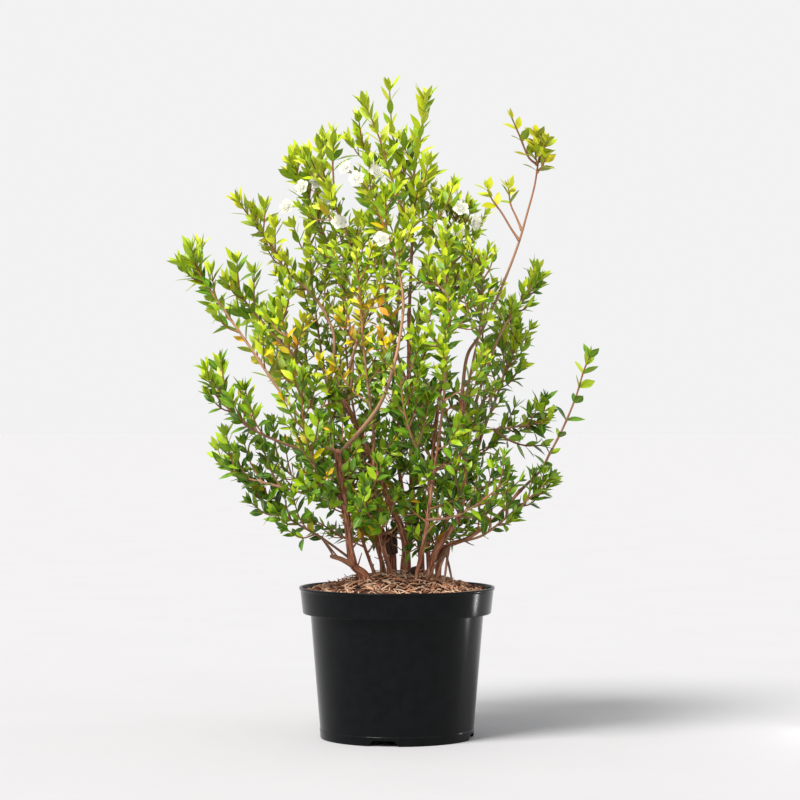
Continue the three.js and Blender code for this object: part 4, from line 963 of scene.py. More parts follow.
def add_wood(basket, path, radii, sides, seed, depth, places=(), flat_end=False, tint=0.0, slot=0):
    points = vectors(path)
    length = length_of(points)
    count = max(4, math.ceil(length / CANE_STEP))
    shares = [i / count for i in range(count + 1)]
    axes = carried(points, aside(heading_on(points, 0), 0), shares)
    reach = swollen([mix(*radii, share) for share in shares], shares, length, places)
    reach = [radius * root_flare(place.z) for radius, (place, *_) in zip(reach, axes)]
    if not flat_end:
        rounded_end(axes, reach, reach[-1])
    lengths = [length * i / count for i in range(len(axes))]
    tints = [(tint, draw(seed), min(1, along / 120)) for along in lengths]
    add_tube(basket, axes, reach, sides, tints, slot, ridges=bark_relief(lengths, sides, seed, depth))


# %% Dead twigs on a cane
STUB_COUNT = 5
STUB_SHARES = (0.3, 0.62)
STUB_LENGTH = (7, 20)
STUB_RADII = (1.0, 0.5)


def add_stubs(basket, cane, seed):
    """Thin dead twigs, broken short, on the middle of a cane."""
    points = vectors(cane["path"])
    for i in range(STUB_COUNT):
        share = mix(*STUB_SHARES, (i + draw(seed + i)) / STUB_COUNT)
        out = aside(heading_on(points, share), DRAWN_TURN * draw(seed + 2.3 * i))
        foot = point_on(points, share) + out * (ROOTED * mix(*cane["radii"], share))
        way = (out + heading_on(points, share) * mix(0.2, 1.2, draw(seed + i + 0.6))).normalized()
        end = foot + way * mix(*STUB_LENGTH, draw(seed + i + 0.4) ** 2)
        bent = foot.lerp(end, 0.55) + UP * mix(-1.5, 1.0, draw(seed + i + 0.8))
        add_wood(basket, [foot, bent, end], STUB_RADII, 6, seed + i, 0.2, tint=0.15)


# %% Bare roots at a cane's foot
BARE_ROOTS = {
    "low_right_cane": [(24, -32, 205), (36, -38, 205), (49, -37, 205), (62, -32, 205), (74, -20, 204)],
}
ROOTS_LEAVE = (0.42, 0.5)
ROOT_RADII = (1.9, 1.2)


def add_bare_roots(basket, name, cane, seed):
    """Strands that run down from a cane into the mulch."""
    for i, foot in enumerate(BARE_ROOTS.get(name, [])):
        start = point_on(vectors(cane["path"]), mix(*ROOTS_LEAVE, draw(seed + i)))
        middle = start.lerp(Vector(foot), 0.5) + UP * 2
        add_wood(basket, [start, middle, foot], ROOT_RADII, 7, seed + 5 * i, 0.2, tint=0.6)


# %% The stump's torn knot
STUMP_RELIEF = 0.3
SNAG_PATH = [(17, -6, 204), (20, -8, 220), (29, -11, 225)]
SNAG_RADII = (5, 3)
KNOT_BARK = 1.25
SPLINTERS = 11
SPLINTER_HEIGHT = (5, 14)
SPLINTER_DEPTH = 3


def add_knot(basket, spurs, seed):
    """The knot with a flat top and its bark round it, and the torn branches beside it."""
    add_wood(basket, SNAG_PATH, SNAG_RADII, 10, seed + 9, STUMP_RELIEF, slot=1)
    for i, spur in enumerate(spurs):
        swell = KNOT_BARK if i == 0 else 1
        radii = [radius * swell for radius in spur["radii"]]
        add_wood(basket, spur["path"], radii, 18, seed + i, STUMP_RELIEF, flat_end=i == 0, slot=1)


def add_splinters(basket, knot, seed):
    """Short pointed strips that stand round the rim of the stump's broken knot."""
    points = vectors(knot["path"])
    top, along, radius = points[-1], heading_on(points, 1), knot["radii"][1]
    for i in range(SPLINTERS):
        out = aside(along, i * 2 * math.pi / SPLINTERS)
        foot = top + out * (radius * mix(0.45, 0.8, draw(seed + i))) - along * SPLINTER_DEPTH
        tall = mix(*SPLINTER_HEIGHT, draw(seed + 3 * i + 0.5) ** 1.5)
        tip = foot + along * (tall + SPLINTER_DEPTH) + out * mix(-1, 3, draw(seed + i + 0.2))
        radii = (mix(1.5, 2.8, draw(seed + i + 0.7)), 0.3)
        add_wood(basket, [foot, foot.lerp(tip, 0.6) + out * 0.6, tip], radii, 6, seed + i, 0.2, slot=1)


# %% One cane with all that stands on it
def cane_basket(name, cane, seed):
    basket = Basket()
    leaving = [stem["at"] for stem in STEMS.values() if stem["cane"] == name]
    sides = 16 if cane["radii"][0] > 4 else 12
    add_wood(basket, cane["path"], cane["radii"], sides, seed, CANE_RELIEF, leaving)
    spurs = cane.get("spurs", [])
    if name == "old_stump":
        add_knot(basket, spurs, seed)
        add_splinters(basket, spurs[0], seed)
        return basket
    add_stubs(basket, cane, seed)
    add_bare_roots(basket, name, cane, seed)
    for i, spur in enumerate(spurs):
        add_wood(basket, spur["path"], spur["radii"], 9, seed + 0.37 * (i + 1), 0.14, tint=0.35)
    return basket


# %% [markdown]
# Bark and twig skin
# Bark and twig share the fibre group, in two coats. A cane's coat is reddish brown with dark cracks
# and paler strips, and the stump's is nearly black. A twig's coat follows its age: brown where it is
# old, then pale, then the red and green of this year's growth. The age travels with each corner, in
# its tint. A twig also darkens by chance, except the two sunlit stems, which stay light as painted
# sunlight.

# %% Bark
def bark(name, dark, middle, light):
    material, tree, shader = new_material(name, Specular_IOR_Level=0.3)
    fibre = fibre_of(tree, 700.0, 0.09)
    strips = ramp(tree, fibre["Streaks"], [(0.34, dark), (0.5, middle), (0.66, light)])
    patchy = grain_of(tree, 600.0)["Patches"]
    warm = blend(tree, spread(tree, patchy, 0.4, 0.7, 0.0, 0.5), strips, middle)
    grey = blend(tree, parts_of(tree, "tint")["X"], warm, colour(150, 122, 98))
    cracked = blend(tree, spread(tree, fibre["Cracks"], 0.0, 1.0, 0.55, 0.0), grey, dark)
    coat(tree, shader, cracked, spread(tree, fibre["Streaks"], 0.3, 0.7, 0.92, 0.66))
    relief = work(tree, "ADD", fibre["Streaks"], work(tree, "MULTIPLY", fibre["Cracks"], 0.6))
    bump(tree, shader, relief, 0.0009, 0.9)
    return material


CANE_BARK = bark("cane_bark", colour(62, 30, 20), colour(176, 110, 80), colour(232, 180, 144))
STUMP_WOOD = bark("old_stump_wood", colour(32, 20, 16), colour(84, 60, 50), colour(136, 106, 92))


# %% Twig skin
def twig_skin():
    material, tree, shader = new_material("twig_skin", Specular_IOR_Level=0.35)
    tint = parts_of(tree, "tint")
    fibre = fibre_of(tree, 1500.0, 0.07)
    age = ramp(tree, tint["X"], [(0.0, colour(158, 116, 90)), (0.3, colour(204, 158, 124)),
                                 (0.6, colour(200, 142, 102)), (0.82, colour(176, 112, 66)),
                                 (1.0, colour(156, 156, 50))])
    # Tint Y darkens a twig by chance; the sunlit stems carry the highest Y and stay light, as painted
    # sunlight.
    age = blend(tree, spread(tree, tint["Y"], 0.0, 1.0, 0.75, 0.0), age, colour(96, 52, 32))
    streaked = blend(tree, spread(tree, fibre["Streaks"], 0.35, 0.6, 0.5, 0.0), age, colour(84, 50, 36))
    coat(tree, shader, streaked, spread(tree, fibre["Streaks"], 0.3, 0.7, 0.75, 0.5))
    bump(tree, shader, fibre["Streaks"], 0.0003, 0.7)
    return material


TWIG_SKIN = twig_skin()
for number, (name, cane) in enumerate(CANES.items()):
    basket = cane_basket(name, cane, number + 1.0)
    make_piece(name + "_bark", basket, [CANE_BARK, STUMP_WOOD], [name], sharp=60)
print("canes:", len(CANES))

# %% [markdown]
# How a stem branches
# A myrtle sets its leaves in opposite pairs, and each pair stands a quarter turn from the last. A
# side shoot grows from the axil of a leaf, at a slant, and then bends up to the light. The rules
# below are those of the solid model, so every stem here lies where its solid lies. The solid model
# keeps only some of the shoots and leaves. Here all of them grow, with small twiglets on the shoots
# in the bush's thick heart.

# %% Rods: the twigs that bear leaves
SHOOT_RADII = (1.1, 0.7)
FORK_RADII = (1.6, 0.8)
SHOOT_BARE = 0.12
SHOOT_LEAN = (54, 36)
SHOOT_LIFT = 0.7
SHOOT_LENGTH = (100, 62)
KNEE = 0.45
TIP_RADIUS = 0.9
FURTHEST = 0.99
INTERNODE = 12.5
AXES_STEPS = 12


class Rod:
    """A twig's path and axes, its radii, the share of it without leaves, its seed and its order."""

    def __init__(self, points, across, radii, bare, seed, order):
        self.points, self.across, self.radii = points, across, radii
        self.bare, self.seed, self.order = bare, seed, order
        self.length = length_of(points)
        self.habit = None

    def axes_at(self, share):
        shares = [share * i / AXES_STEPS for i in range(AXES_STEPS + 1)]
        return carried(self.points, self.across, shares)[-1]

    def radius_at(self, share):
        return mix(*self.radii, share)

    def spaced(self, step, least, crowding=1.0):
        """(number, share of the rod, how far towards the tip) of places a step apart."""
        count = max(least, int(self.length * (1 - self.bare) / step))
        tipward = [(i + 1) / count for i in range(count)]
        return [(i, min(FURTHEST, mix(self.bare, 1, share**crowding)), share)
                for i, share in enumerate(tipward)]

    def nodes(self):
        """Where a shoot may leave."""
        return self.spaced(INTERNODE, 2)

    def leaf_nodes(self):
        """Where each pair of leaves stands, closer towards the tip."""
        return self.spaced(leaf_habit(self).step, 3, 0.85)


@dataclass
class Habit:
    """How a twig bears its leaves: millimetres between pairs, length, width for one of length, and
    the angles at which the lowest and the highest leaves stand from the twig."""

    step: float
    length: float
    width: float
    leans: tuple


CROWN_RISE = (590, 740)
BUSH_REACH = 230
HEART_HABIT = Habit(8.4, 18.5, 0.48, (62, 26))
OUTER_HABIT = Habit(10, 23, 0.43, (58, 24))
CROWN_HABIT = Habit(11, 28, 0.36, (46, 24))
OWN_HABITS = {
    "right_long_stem": Habit(20, 26, 0.42, (64, 34)),
    "right_tall_stem": Habit(13, 23, 0.5, (60, 34)),
    "front_right_low_stem": Habit(13, 22, 0.42, (60, 30)),
    "back_mid_out_stem": Habit(10, 17, 0.46, (50, 20)),
    "right_upper_stem": Habit(12, 19, 0.4, (52, 22)),
    "right_edge_stem": Habit(13, 25, 0.44, (60, 30)),
    "right_mid_stem": Habit(11, 20, 0.4, (40, 16)),
}


def crown(place):
    """0 in the bush's heart and low down, 1 in its crown and on its far left spray."""
    far_left = eased(150, 200, -place.x) * eased(440, 500, place.z)
    return max(eased(*CROWN_RISE, place.z), far_left)


def between(low, high, share):
    leans = [mix(first, second, share) for first, second in zip(low.leans, high.leans)]
    return Habit(mix(low.step, high.step, share), mix(low.length, high.length, share),
                 mix(low.width, high.width, share), leans)


def leaf_habit(rod):
    """A rod's habit by its place, unless it has its own."""
    place = point_on(rod.points, 0.5)
    low = between(HEART_HABIT, OUTER_HABIT, eased(70, 170, place.xy.length))
    return rod.habit or between(low, CROWN_HABIT, crown(place))


def way_out(axes, side):
    """The way out of one of a twig's four sides."""
    turn = (side - 1) * math.pi / 2
    return axes[2] * math.cos(turn) + axes[3] * math.sin(turn)


# %% The stem itself, its shoots and its forks
def spine_of(stem, seed):
    cane = vectors(CANES[stem["cane"]]["path"])
    points = [point_on(cane, stem["at"]), *vectors(stem["path"])]
    across = aside(heading_on(points, 0), DRAWN_TURN * draw(seed))
    return Rod(points, across, (stem["radius"], TIP_RADIUS), stem["bare"], seed, 0)


def bent_path(foot, heading, lift, length):
    """A slanted start, and then a bend up to the light."""
    knee = foot + heading * (length * KNEE)
    lifted = (heading + UP * lift).normalized()
    return [foot, knee, knee + lifted * (length * (1 - KNEE))]


def shoot_from(rod, node, number, reach):
    """A side shoot from one of a rod's nodes."""
    index, share, _ = node
    axes = rod.axes_at(share)
    side = index % 2 + 2 * (number % 2)
    lean = math.radians(mix(*SHOOT_LEAN, share))
    out = way_out(axes, side + 0.5 * (draw(rod.seed + 13 * number) - 0.5))
    heading = axes[1] * math.cos(lean) + out * math.sin(lean)
    length = reach * mix(*SHOOT_LENGTH, share) * mix(0.75, 1.15, draw(rod.seed + number))
    foot = axes[0] + way_out(axes, side) * (ROOTED * rod.radius_at(share))
    across = axes[1].cross(way_out(axes, side))
    path = bent_path(foot, heading, SHOOT_LIFT, length)
    return Rod(path, across, SHOOT_RADII, SHOOT_BARE, rod.seed + 31 * (number + 1), 1)


def fork_from(rod, fork, number):
    """A branch as strong as the stem, on a path of its own."""
    axes = rod.axes_at(fork["start"])
    bend = Vector(fork["path"][0]) - axes[0]
    side = max(range(4), key=lambda each: way_out(axes, each).dot(bend))
    foot = axes[0] + way_out(axes, side) * (ROOTED * rod.radius_at(fork["start"]))
    across = axes[1].cross(way_out(axes, side))
    path = [foot, *vectors(fork["path"])]
    return Rod(path, across, FORK_RADII, fork["bare"], rod.seed + 17 * (number + 1), 1)


# %% Twiglets, and all that grows on a stem
TWIGLET_ROOM = 32
TWIGLET_RADII = (0.8, 0.55)
TWIGLET_REACH = (0.36, 0.6)
HEART_REACH = (90, 180)
HEART_TOP = (640, 740)
LEAFY_STEMS = {"trunk_right_stem": 0.7, "front_right_stem": 1.5, "back_inner_stem": 1.0}


def twiglets_of(rod, least=0.0):
    """Small side shoots on a shoot: one for each TWIGLET_ROOM of its length in the bush's heart, and
    fewer further out, but never less than the share that is called least."""
    middle = point_on(rod.points, 0.5)
    heart = (1 - eased(*HEART_REACH, middle.xy.length)) * (1 - eased(*HEART_TOP, middle.z))
    count = int(max(heart, least) * rod.length * (1 - rod.bare) / TWIGLET_ROOM + 0.5)
    nodes = rod.nodes()
    made = []
    for number in range(count):
        node = nodes[min(len(nodes) - 1, int(len(nodes) * (number + 0.35) / count))]
        twiglet = shoot_from(rod, node, number, mix(*TWIGLET_REACH, draw(rod.seed + 5.5 * number)))
        twiglet.radii, twiglet.order = TWIGLET_RADII, 2
        made.append(twiglet)
    return made


def rods_of(stem, seed, least):
    """A stem's rods: its spine, its forks, all its side shoots, and the twiglets on them."""
    spine = spine_of(stem, seed)
    rods = [spine] + [fork_from(spine, fork, i) for i, fork in enumerate(stem.get("forks", []))]
    nodes = spine.nodes()
    for number in range(stem["shoots"]):
        reached = (number + 0.5) / stem["shoots"] * stem.get("shoots_to", 1)
        node = nodes[math.floor((len(nodes) - 2) * reached + 0.5)]
        rods.append(shoot_from(spine, node, number, stem["reach"]))
    return rods + [twiglet for rod in rods[1:] for twiglet in twiglets_of(rod, least)]


GROWTH = {}
for i, (name, stem) in enumerate(STEMS.items()):
    GROWTH[name] = rods_of(stem, 100.0 * (i + 1), LEAFY_STEMS.get(name, 0))
    for rod in GROWTH[name]:
        rod.habit = OWN_HABITS.get(name)
print("twigs on the stems:", sum(len(rods) for rods in GROWTH.values()))

# %% Young shoots straight from the canes
CANE_SHOOT_STEP = 16
OWN_SHOOT_STEPS = {"left_cane": 11, "thin_left_cane": 11, "low_right_cane": 34, "right_cane": 24,
                   "right_mid_cane": 18, "upper_right_cane": 20, "centre_cane": 22}
CANE_SHOOT_LOW = 244
CANE_SHOOT_LEAN = math.radians(56)
CANE_SHOOT_LENGTH = (44, 84)
CANE_SHOOT_RISE = 12


def cane_shoots(cane, step, seed):
    """Leafy shoots that break from old wood, turned by the golden angle from one to the next."""
    points = vectors(cane["path"])
    wood = Rod(points, aside(heading_on(points, 0), 0), cane["radii"], 0, seed, 0)
    made = []
    for i in range(int(wood.length / step)):
        share = (i + 0.5) * step / wood.length
        axes = wood.axes_at(share)
        if axes[0].z < CANE_SHOOT_LOW:
            continue
        out = axes[2] * math.cos(i * GOLDEN_ANGLE + seed) + axes[3] * math.sin(i * GOLDEN_ANGLE + seed)
        heading = axes[1] * math.cos(CANE_SHOOT_LEAN) + out * math.sin(CANE_SHOOT_LEAN)
        high = eased(250, 400, axes[0].z)
        length = mix(*CANE_SHOOT_LENGTH, draw(seed + 3 * i)) * mix(0.6, 1, high)
        foot = axes[0] + out * (0.8 * wood.radius_at(share))
        path = bent_path(foot, heading, mix(0, 0.5, high), length)
        if path[-1].z > foot.z + CANE_SHOOT_RISE:
            made.append(Rod(path, axes[1].cross(out), SHOOT_RADII, SHOOT_BARE, seed + 31 * (i + 1), 1))
    return made + [twiglet for rod in made for twiglet in twiglets_of(rod)]


for i, (name, cane) in enumerate(CANES.items()):
    if name != "old_stump":
        step = OWN_SHOOT_STEPS.get(name, CANE_SHOOT_STEP)
        GROWTH[name + "_shoots"] = cane_shoots(cane, step, 5000.0 + 100 * i)
print("twigs in all:", sum(len(rods) for rods in GROWTH.values()))

# %% [markdown]
# The leaves
# A myrtle leaf is a small pointed lance, folded a little along its midrib, thin but leathery. Flat
# cards with a picture would be quick, but their edges look cut. Each leaf here is a closed solid of
# eight stations, or six on a small one, so that it has a real edge. A leaf leans out from its twig,
# less and less towards the tip, and turns its face to the light. Before it is kept, a leaf is tried
# against all canes, twigs, blooms and leaves near it, and bent aside where it would cross them.

# %% Size and lean of a leaf
LIGHT_PULL = (0.6, 0.74)
LIGHT_SIDE = Vector((-0.15, -0.6, 0.3))
LEAN_LUCK = 18
ROLL_LUCK = 0.7
LENGTH_LUCK = (0.74, 1.18)
TWIGLET_LEAF = 0.88


def towards_light(place):
    """Where a leaf would like to face: up, outwards from the bush, and a little to the window."""
    outwards = Vector((place.x, place.y, 0)) / BUSH_REACH
    return (UP * 0.45 + outwards * 1.1 + LIGHT_SIDE).normalized()


def square_to(face, heading):
    return (face - heading * face.dot(heading)).normalized()


def slanted(along, out, lean):
    """The heading of a leaf that leans out from its twig, and its face before the light turns it."""
    heading = along * math.cos(lean) + out * math.sin(lean)
    return heading, along * math.sin(lean) - out * math.cos(lean)


def leaf_at(rod, node, side):
    index, share, tipward = node
    habit = leaf_habit(rod)
    axes = rod.axes_at(share)
    luck = draw(rod.seed + 7 * index + 3 * side)
    out = way_out(axes, side + 0.5 * (draw(rod.seed + 5 * index + side) - 0.5))
    lean = math.radians(mix(*habit.leans, tipward**1.4) + LEAN_LUCK * (luck - 0.5))
    heading, face = slanted(axes[1], out, lean)
    pull = mix(*LIGHT_PULL, crown(axes[0]))
    face = square_to(face.lerp(towards_light(axes[0]), pull), heading)
    roll = ROLL_LUCK * (draw(luck + 4.4) - 0.5)
    face = face * math.cos(roll) + heading.cross(face) * math.sin(roll)
    root = axes[0] + way_out(axes, side) * (ROOTED * rod.radius_at(share))
    length = habit.length * mix(1, 0.8, tipward**4) * mix(*LENGTH_LUCK, luck)
    length *= TWIGLET_LEAF if rod.order == 2 else 1
    return dict(root=root, heading=heading, face=face, length=length,
                width=length * habit.width, luck=luck, tipward=tipward, rod=rod)


# %% The tuft that closes a shoot
TUFT_LEANS = (35, 22, 10)
TUFT_LENGTHS = (0.86, 0.64, 0.42)
TUFT_STEP = 1.8
PAST_TIP = 1.2


def tuft_pairs(rod):
    if rod.habit:
        return 1
    return 2 if rod.order == 2 else 3


def tuft_of(rod):
    """The young leaves that close a shoot: narrow pairs, each more upright than the one below."""
    habit = leaf_habit(rod)
    axes = rod.axes_at(0.995)
    made = []
    for pair in range(3 - tuft_pairs(rod), 3):
        for side in (pair, pair + 2):
            luck = draw(rod.seed + 53 * pair + 3 * side + 0.5)
            lean = math.radians(TUFT_LEANS[pair] + 12 * (luck - 0.5))
            out = way_out(axes, side + 0.3 * (luck - 0.5))
            heading, face = slanted(axes[1], out, lean)
            face = square_to(face.lerp(towards_light(axes[0]), 0.5), heading)
            length = habit.length * TUFT_LENGTHS[pair] * mix(0.85, 1.15, luck)
            width = length * mix(habit.width, 0.3, 0.35)
            root = axes[0] + axes[1] * (pair * TUFT_STEP) + out * 0.4
            made.append(dict(root=root, heading=heading, face=face, length=length, width=width,
                             luck=luck, tipward=PAST_TIP, rod=rod))
    return made


# %% The old wood that shows between the leaves
# Each point has a room, in front of which no leaf may hang. The last rows are the stump's.
OPEN_STEPS = 40
OPEN_PATHS = [
    (GROWTH["front_arch_stem"][0].points, range(3, 25), 9.0),
    (vectors(CANES["left_cane"]["path"]), range(12, 40), 8.5),
    (vectors(CANES["main_trunk"]["path"]), range(12, 38), 6.5),
]
OPEN_WOOD = [(point_on(path, i / OPEN_STEPS), room) for path, steps, room in OPEN_PATHS for i in steps]
OPEN_WOOD += [(Vector((-9, 25, height)), 16.0) for height in (236, 248, 260, 272, 282)]
OPEN_BEHIND = 4.0
print("open places:", len(OPEN_WOOD))

# %% Keeping leaves clear of wood and of each other
WOOD_SPACING = 5.0
WOOD_SEARCH = 10.0
WOOD_ROOM = 1.0
TRIED_SHARES = (0.35, 0.65, 0.95)
LEAF_MIDDLE = 0.55
LEAF_ROOM = 3.4
BLOOM_ROOM = 11.0
HEARTS = [Vector(heart) for bloom in BLOOMS.values() for heart, _ in bloom["heads"]]
BENDS = (0, 0.3, -0.3, 0.6, -0.6)


def wood_points(points, radii, owner):
    """Points along a cane or twig, each with its radius there and what it belongs to."""
    count = math.ceil(length_of(points) / WOOD_SPACING)
    shares = [i / count for i in range(count + 1)]
    return [(point_on(points, share), mix(*radii, share), owner) for share in shares]


def wood_tree():
    """All canes and twigs as points that can be searched by place."""
    found = []
    for name, cane in CANES.items():
        for each in (cane, *cane.get("spurs", [])):
            found += wood_points(vectors(each["path"]), each["radii"], name)
    for rods in GROWTH.values():
        for rod in rods:
            found += wood_points(rod.points, rod.radii, rod)
    tree = KDTree(len(found))
    for i, (place, _, _) in enumerate(found):
        tree.insert(place, i)
    tree.balance()
    return tree, found


WOOD, WOOD_POINTS = wood_tree()
TAKEN = {}
print("points of wood:", len(WOOD_POINTS))


def middle_of(leaf):
    return leaf["root"] + leaf["heading"] * (leaf["length"] * LEAF_MIDDLE)


def cell_of(place):
    """The cube, as wide as the room of a leaf, that a place is in."""
    return tuple(int(c // LEAF_ROOM) for c in place)


def clear_of_wood(leaf):
    for share in TRIED_SHARES:
        place = leaf["root"] + leaf["heading"] * (leaf["length"] * share)
        for _, i, distance in WOOD.find_range(place, WOOD_SEARCH):
            _, radius, owner = WOOD_POINTS[i]
            if owner is not leaf["rod"] and distance < radius + WOOD_ROOM + WOOD_SPACING / 4:
                return False
    return True


def hides_wood(middle):
    """Whether a leaf hangs in front of the wood that shows between the leaves."""
    return any(middle.y < wood.y - OPEN_BEHIND and (wood - middle).xz.length < room
               for wood, room in OPEN_WOOD)


def clear_of_leaves(middle):
    i, j, k = cell_of(middle)
    steps = (-1, 0, 1)
    near = [(i + x, j + y, k + z) for x in steps for y in steps for z in steps]
    return all((other - middle).length > LEAF_ROOM for cell in near for other in TAKEN.get(cell, ()))


def is_clear(leaf):
    middle = middle_of(leaf)
    if not clear_of_wood(leaf) or hides_wood(middle):
        return False
    return all((heart - middle).length >= BLOOM_ROOM for heart in HEARTS) and clear_of_leaves(middle)


def settle(leaf):
    """The leaf, bent aside if it has to be, or None if there is no room for it."""
    across = leaf["face"].cross(leaf["heading"])
    straight = leaf["heading"]
    for bend in BENDS:
        leaf["heading"] = straight * math.cos(bend) + across * math.sin(bend)
        if is_clear(leaf):
            middle = middle_of(leaf)
            TAKEN.setdefault(cell_of(middle), []).append(middle)
            return leaf
    return None


# %% The stations of a blade
# RIM is how far out each corner round a station stands, and LEVEL is on which face.
RIM = np.array([-1, -0.5, 0, 0.5, 1, 0])
LEVEL = np.array([0, 1, 1, 1, 0, -1])
PETIOLE = 0.5
BLADE_THICKNESS = 0.42
SMALL_LEAF = 24


class Blade:
    """The stations along a blade, its half widths there, and its faces."""

    def __init__(self, stations):
        self.stations = np.array(stations)
        self.half = np.sin(math.pi * self.stations**0.86) ** (0.72 + 0.5 * self.stations)
        rings, sides = len(stations) - 1, len(RIM)
        last, point = (rings - 1) * sides, rings * sides
        self.faces = ring_faces(rings, sides, (True, False))
        self.faces += [(last + i, last + (i + 1) % sides, point) for i in range(sides)]


FINE_BLADE = Blade([0, 0.07, 0.2, 0.36, 0.54, 0.72, 0.88, 1])
PLAIN_BLADE = Blade([0, 0.1, 0.3, 0.56, 0.82, 1])
print("faces of a leaf:", len(FINE_BLADE.faces), "and of a small one:", len(PLAIN_BLADE.faces))


# %% The blade of a leaf
def blade_corners(leaf):
    """The leaf's corners: six round each station, and one at its point."""
    blade = FINE_BLADE if leaf["length"] > SMALL_LEAF else PLAIN_BLADE
    seed = leaf["luck"]
    fold = mix(0.14, 0.42, draw(seed + 1.3))
    droop = mix(-0.24, 0.06, draw(seed + 2.1)) if leaf["tipward"] < 1.1 else 0.05
    twist = 0.5 * (draw(seed + 3.7) - 0.5)
    sickle = 0.18 * (draw(seed + 4.9) - 0.5)
    half = np.maximum(PETIOLE, blade.half * leaf["width"] / 2)[:-1, None]
    out = half * RIM
    along = np.repeat(blade.stations[:-1, None], len(RIM), axis=1)
    lift = fold * np.abs(out) * (1 - 0.35 * np.abs(RIM)) + out * twist * along
    lift = lift + droop * leaf["length"] * along**2 + LEVEL * BLADE_THICKNESS / 2
    out = out + sickle * leaf["length"] * along**2
    across = np.array(leaf["face"].cross(leaf["heading"]))
    heading, face = np.array(leaf["heading"]), np.array(leaf["face"])
    ring = along[..., None] * leaf["length"] * heading + out[..., None] * across
    ring = ring + lift[..., None] * face
    tip = leaf["length"] * (heading + sickle * across + droop * face)
    corners = np.concatenate([ring.reshape(-1, 3), [tip]]) + np.array(leaf["root"])
    rims, levels = np.broadcast_to(RIM, along.shape), np.broadcast_to(LEVEL, along.shape)
    where = np.stack([rims, along, levels], axis=-1)
    return corners, blade.faces, np.concatenate([where.reshape(-1, 3), [(0, 1, 0)]])


# %% [markdown]
# Leaf colour
# No two leaves of the real bush match. Young ones at the tips of the shoots are a bright yellow
# green. Leaves are also lighter higher up and towards the outside, and darker and bluer inside and
# below: partly fresher and older growth, partly painted light and shade. A few age to clear yellow
# and orange, most of them on a few sprays. Each leaf's tint holds its freshness with that painted
# light, its yellowing and plain luck, and the place on the blade gives the midrib, the side veins
# and the paler underside. A flat green with a bump would do for one leaf, but not for thousands
# side by side.

# %% How fresh, how lit and how yellow each leaf is
BUSH_LOW, BUSH_HIGH = 260, 800
YELLOW_SHARE = 0.02
# Middle, reach, and the share of the leaves there that are yellow.
YELLOWING_SPRAYS = [(Vector((-90, -40, 535)), 85, 0.6), (Vector((-20, -60, 540)), 70, 0.5),
                    (Vector((-165, -50, 500)), 60, 0.45), (Vector((-36, -30, 300)), 60, 0.7),
                    (Vector((-20, -90, 650)), 45, 0.2), (Vector((30, -60, 520)), 45, 0.4)]
OLIVE_STEMS = {"right_tall_stem": 0.28, "trunk_up_stem": 0.2}
OLIVE_RODS = {id(rod): share for name, share in OLIVE_STEMS.items() for rod in GROWTH[name]}


def yellow_share(place):
    """How many leaves are yellow near a place: more on the sprays that are going over."""
    near = [share * (1 - eased(0.4 * reach, reach, (place - spray).length))
            for spray, reach, share in YELLOWING_SPRAYS]
    return max(near)


def leaf_tint(leaf):
    middle = leaf["root"] + leaf["heading"] * (leaf["length"] / 2)
    high = eased(BUSH_LOW, BUSH_HIGH, middle.z)
    outer = eased(60, BUSH_REACH, middle.xy.length)
    young = eased(0.2, 1.1, leaf["tipward"])
    olive_rod = OLIVE_RODS.get(id(leaf["rod"]), 0)
    # Lighter with height and a little towards the outside, partly as fresher growth and partly as painted
    # light; lower and inner leaves get painted shade. Young tips are fresher still.
    fresh_and_lit = 0.09 + 0.36 * high + 0.04 * outer + mix(0.05, 0.28, high) * young
    fresh_and_lit += 0.62 * (draw(leaf["luck"] + 7.7) - 0.4) - 0.4 * olive_rod
    chance = draw(leaf["luck"] * 3 + leaf["rod"].seed + 0.9)
    turning = yellow_share(middle)
    olive = max(0.4 * turning, olive_rod) * mix(0.5, 1.2, draw(leaf["luck"] + 5.2))
    turned = chance < YELLOW_SHARE * (1 - high) + turning
    yellow = mix(0.6, 1, draw(leaf["luck"] + 6.1)) if turned else olive
    return fresh_and_lit, yellow, draw(leaf["luck"] + 9.1)


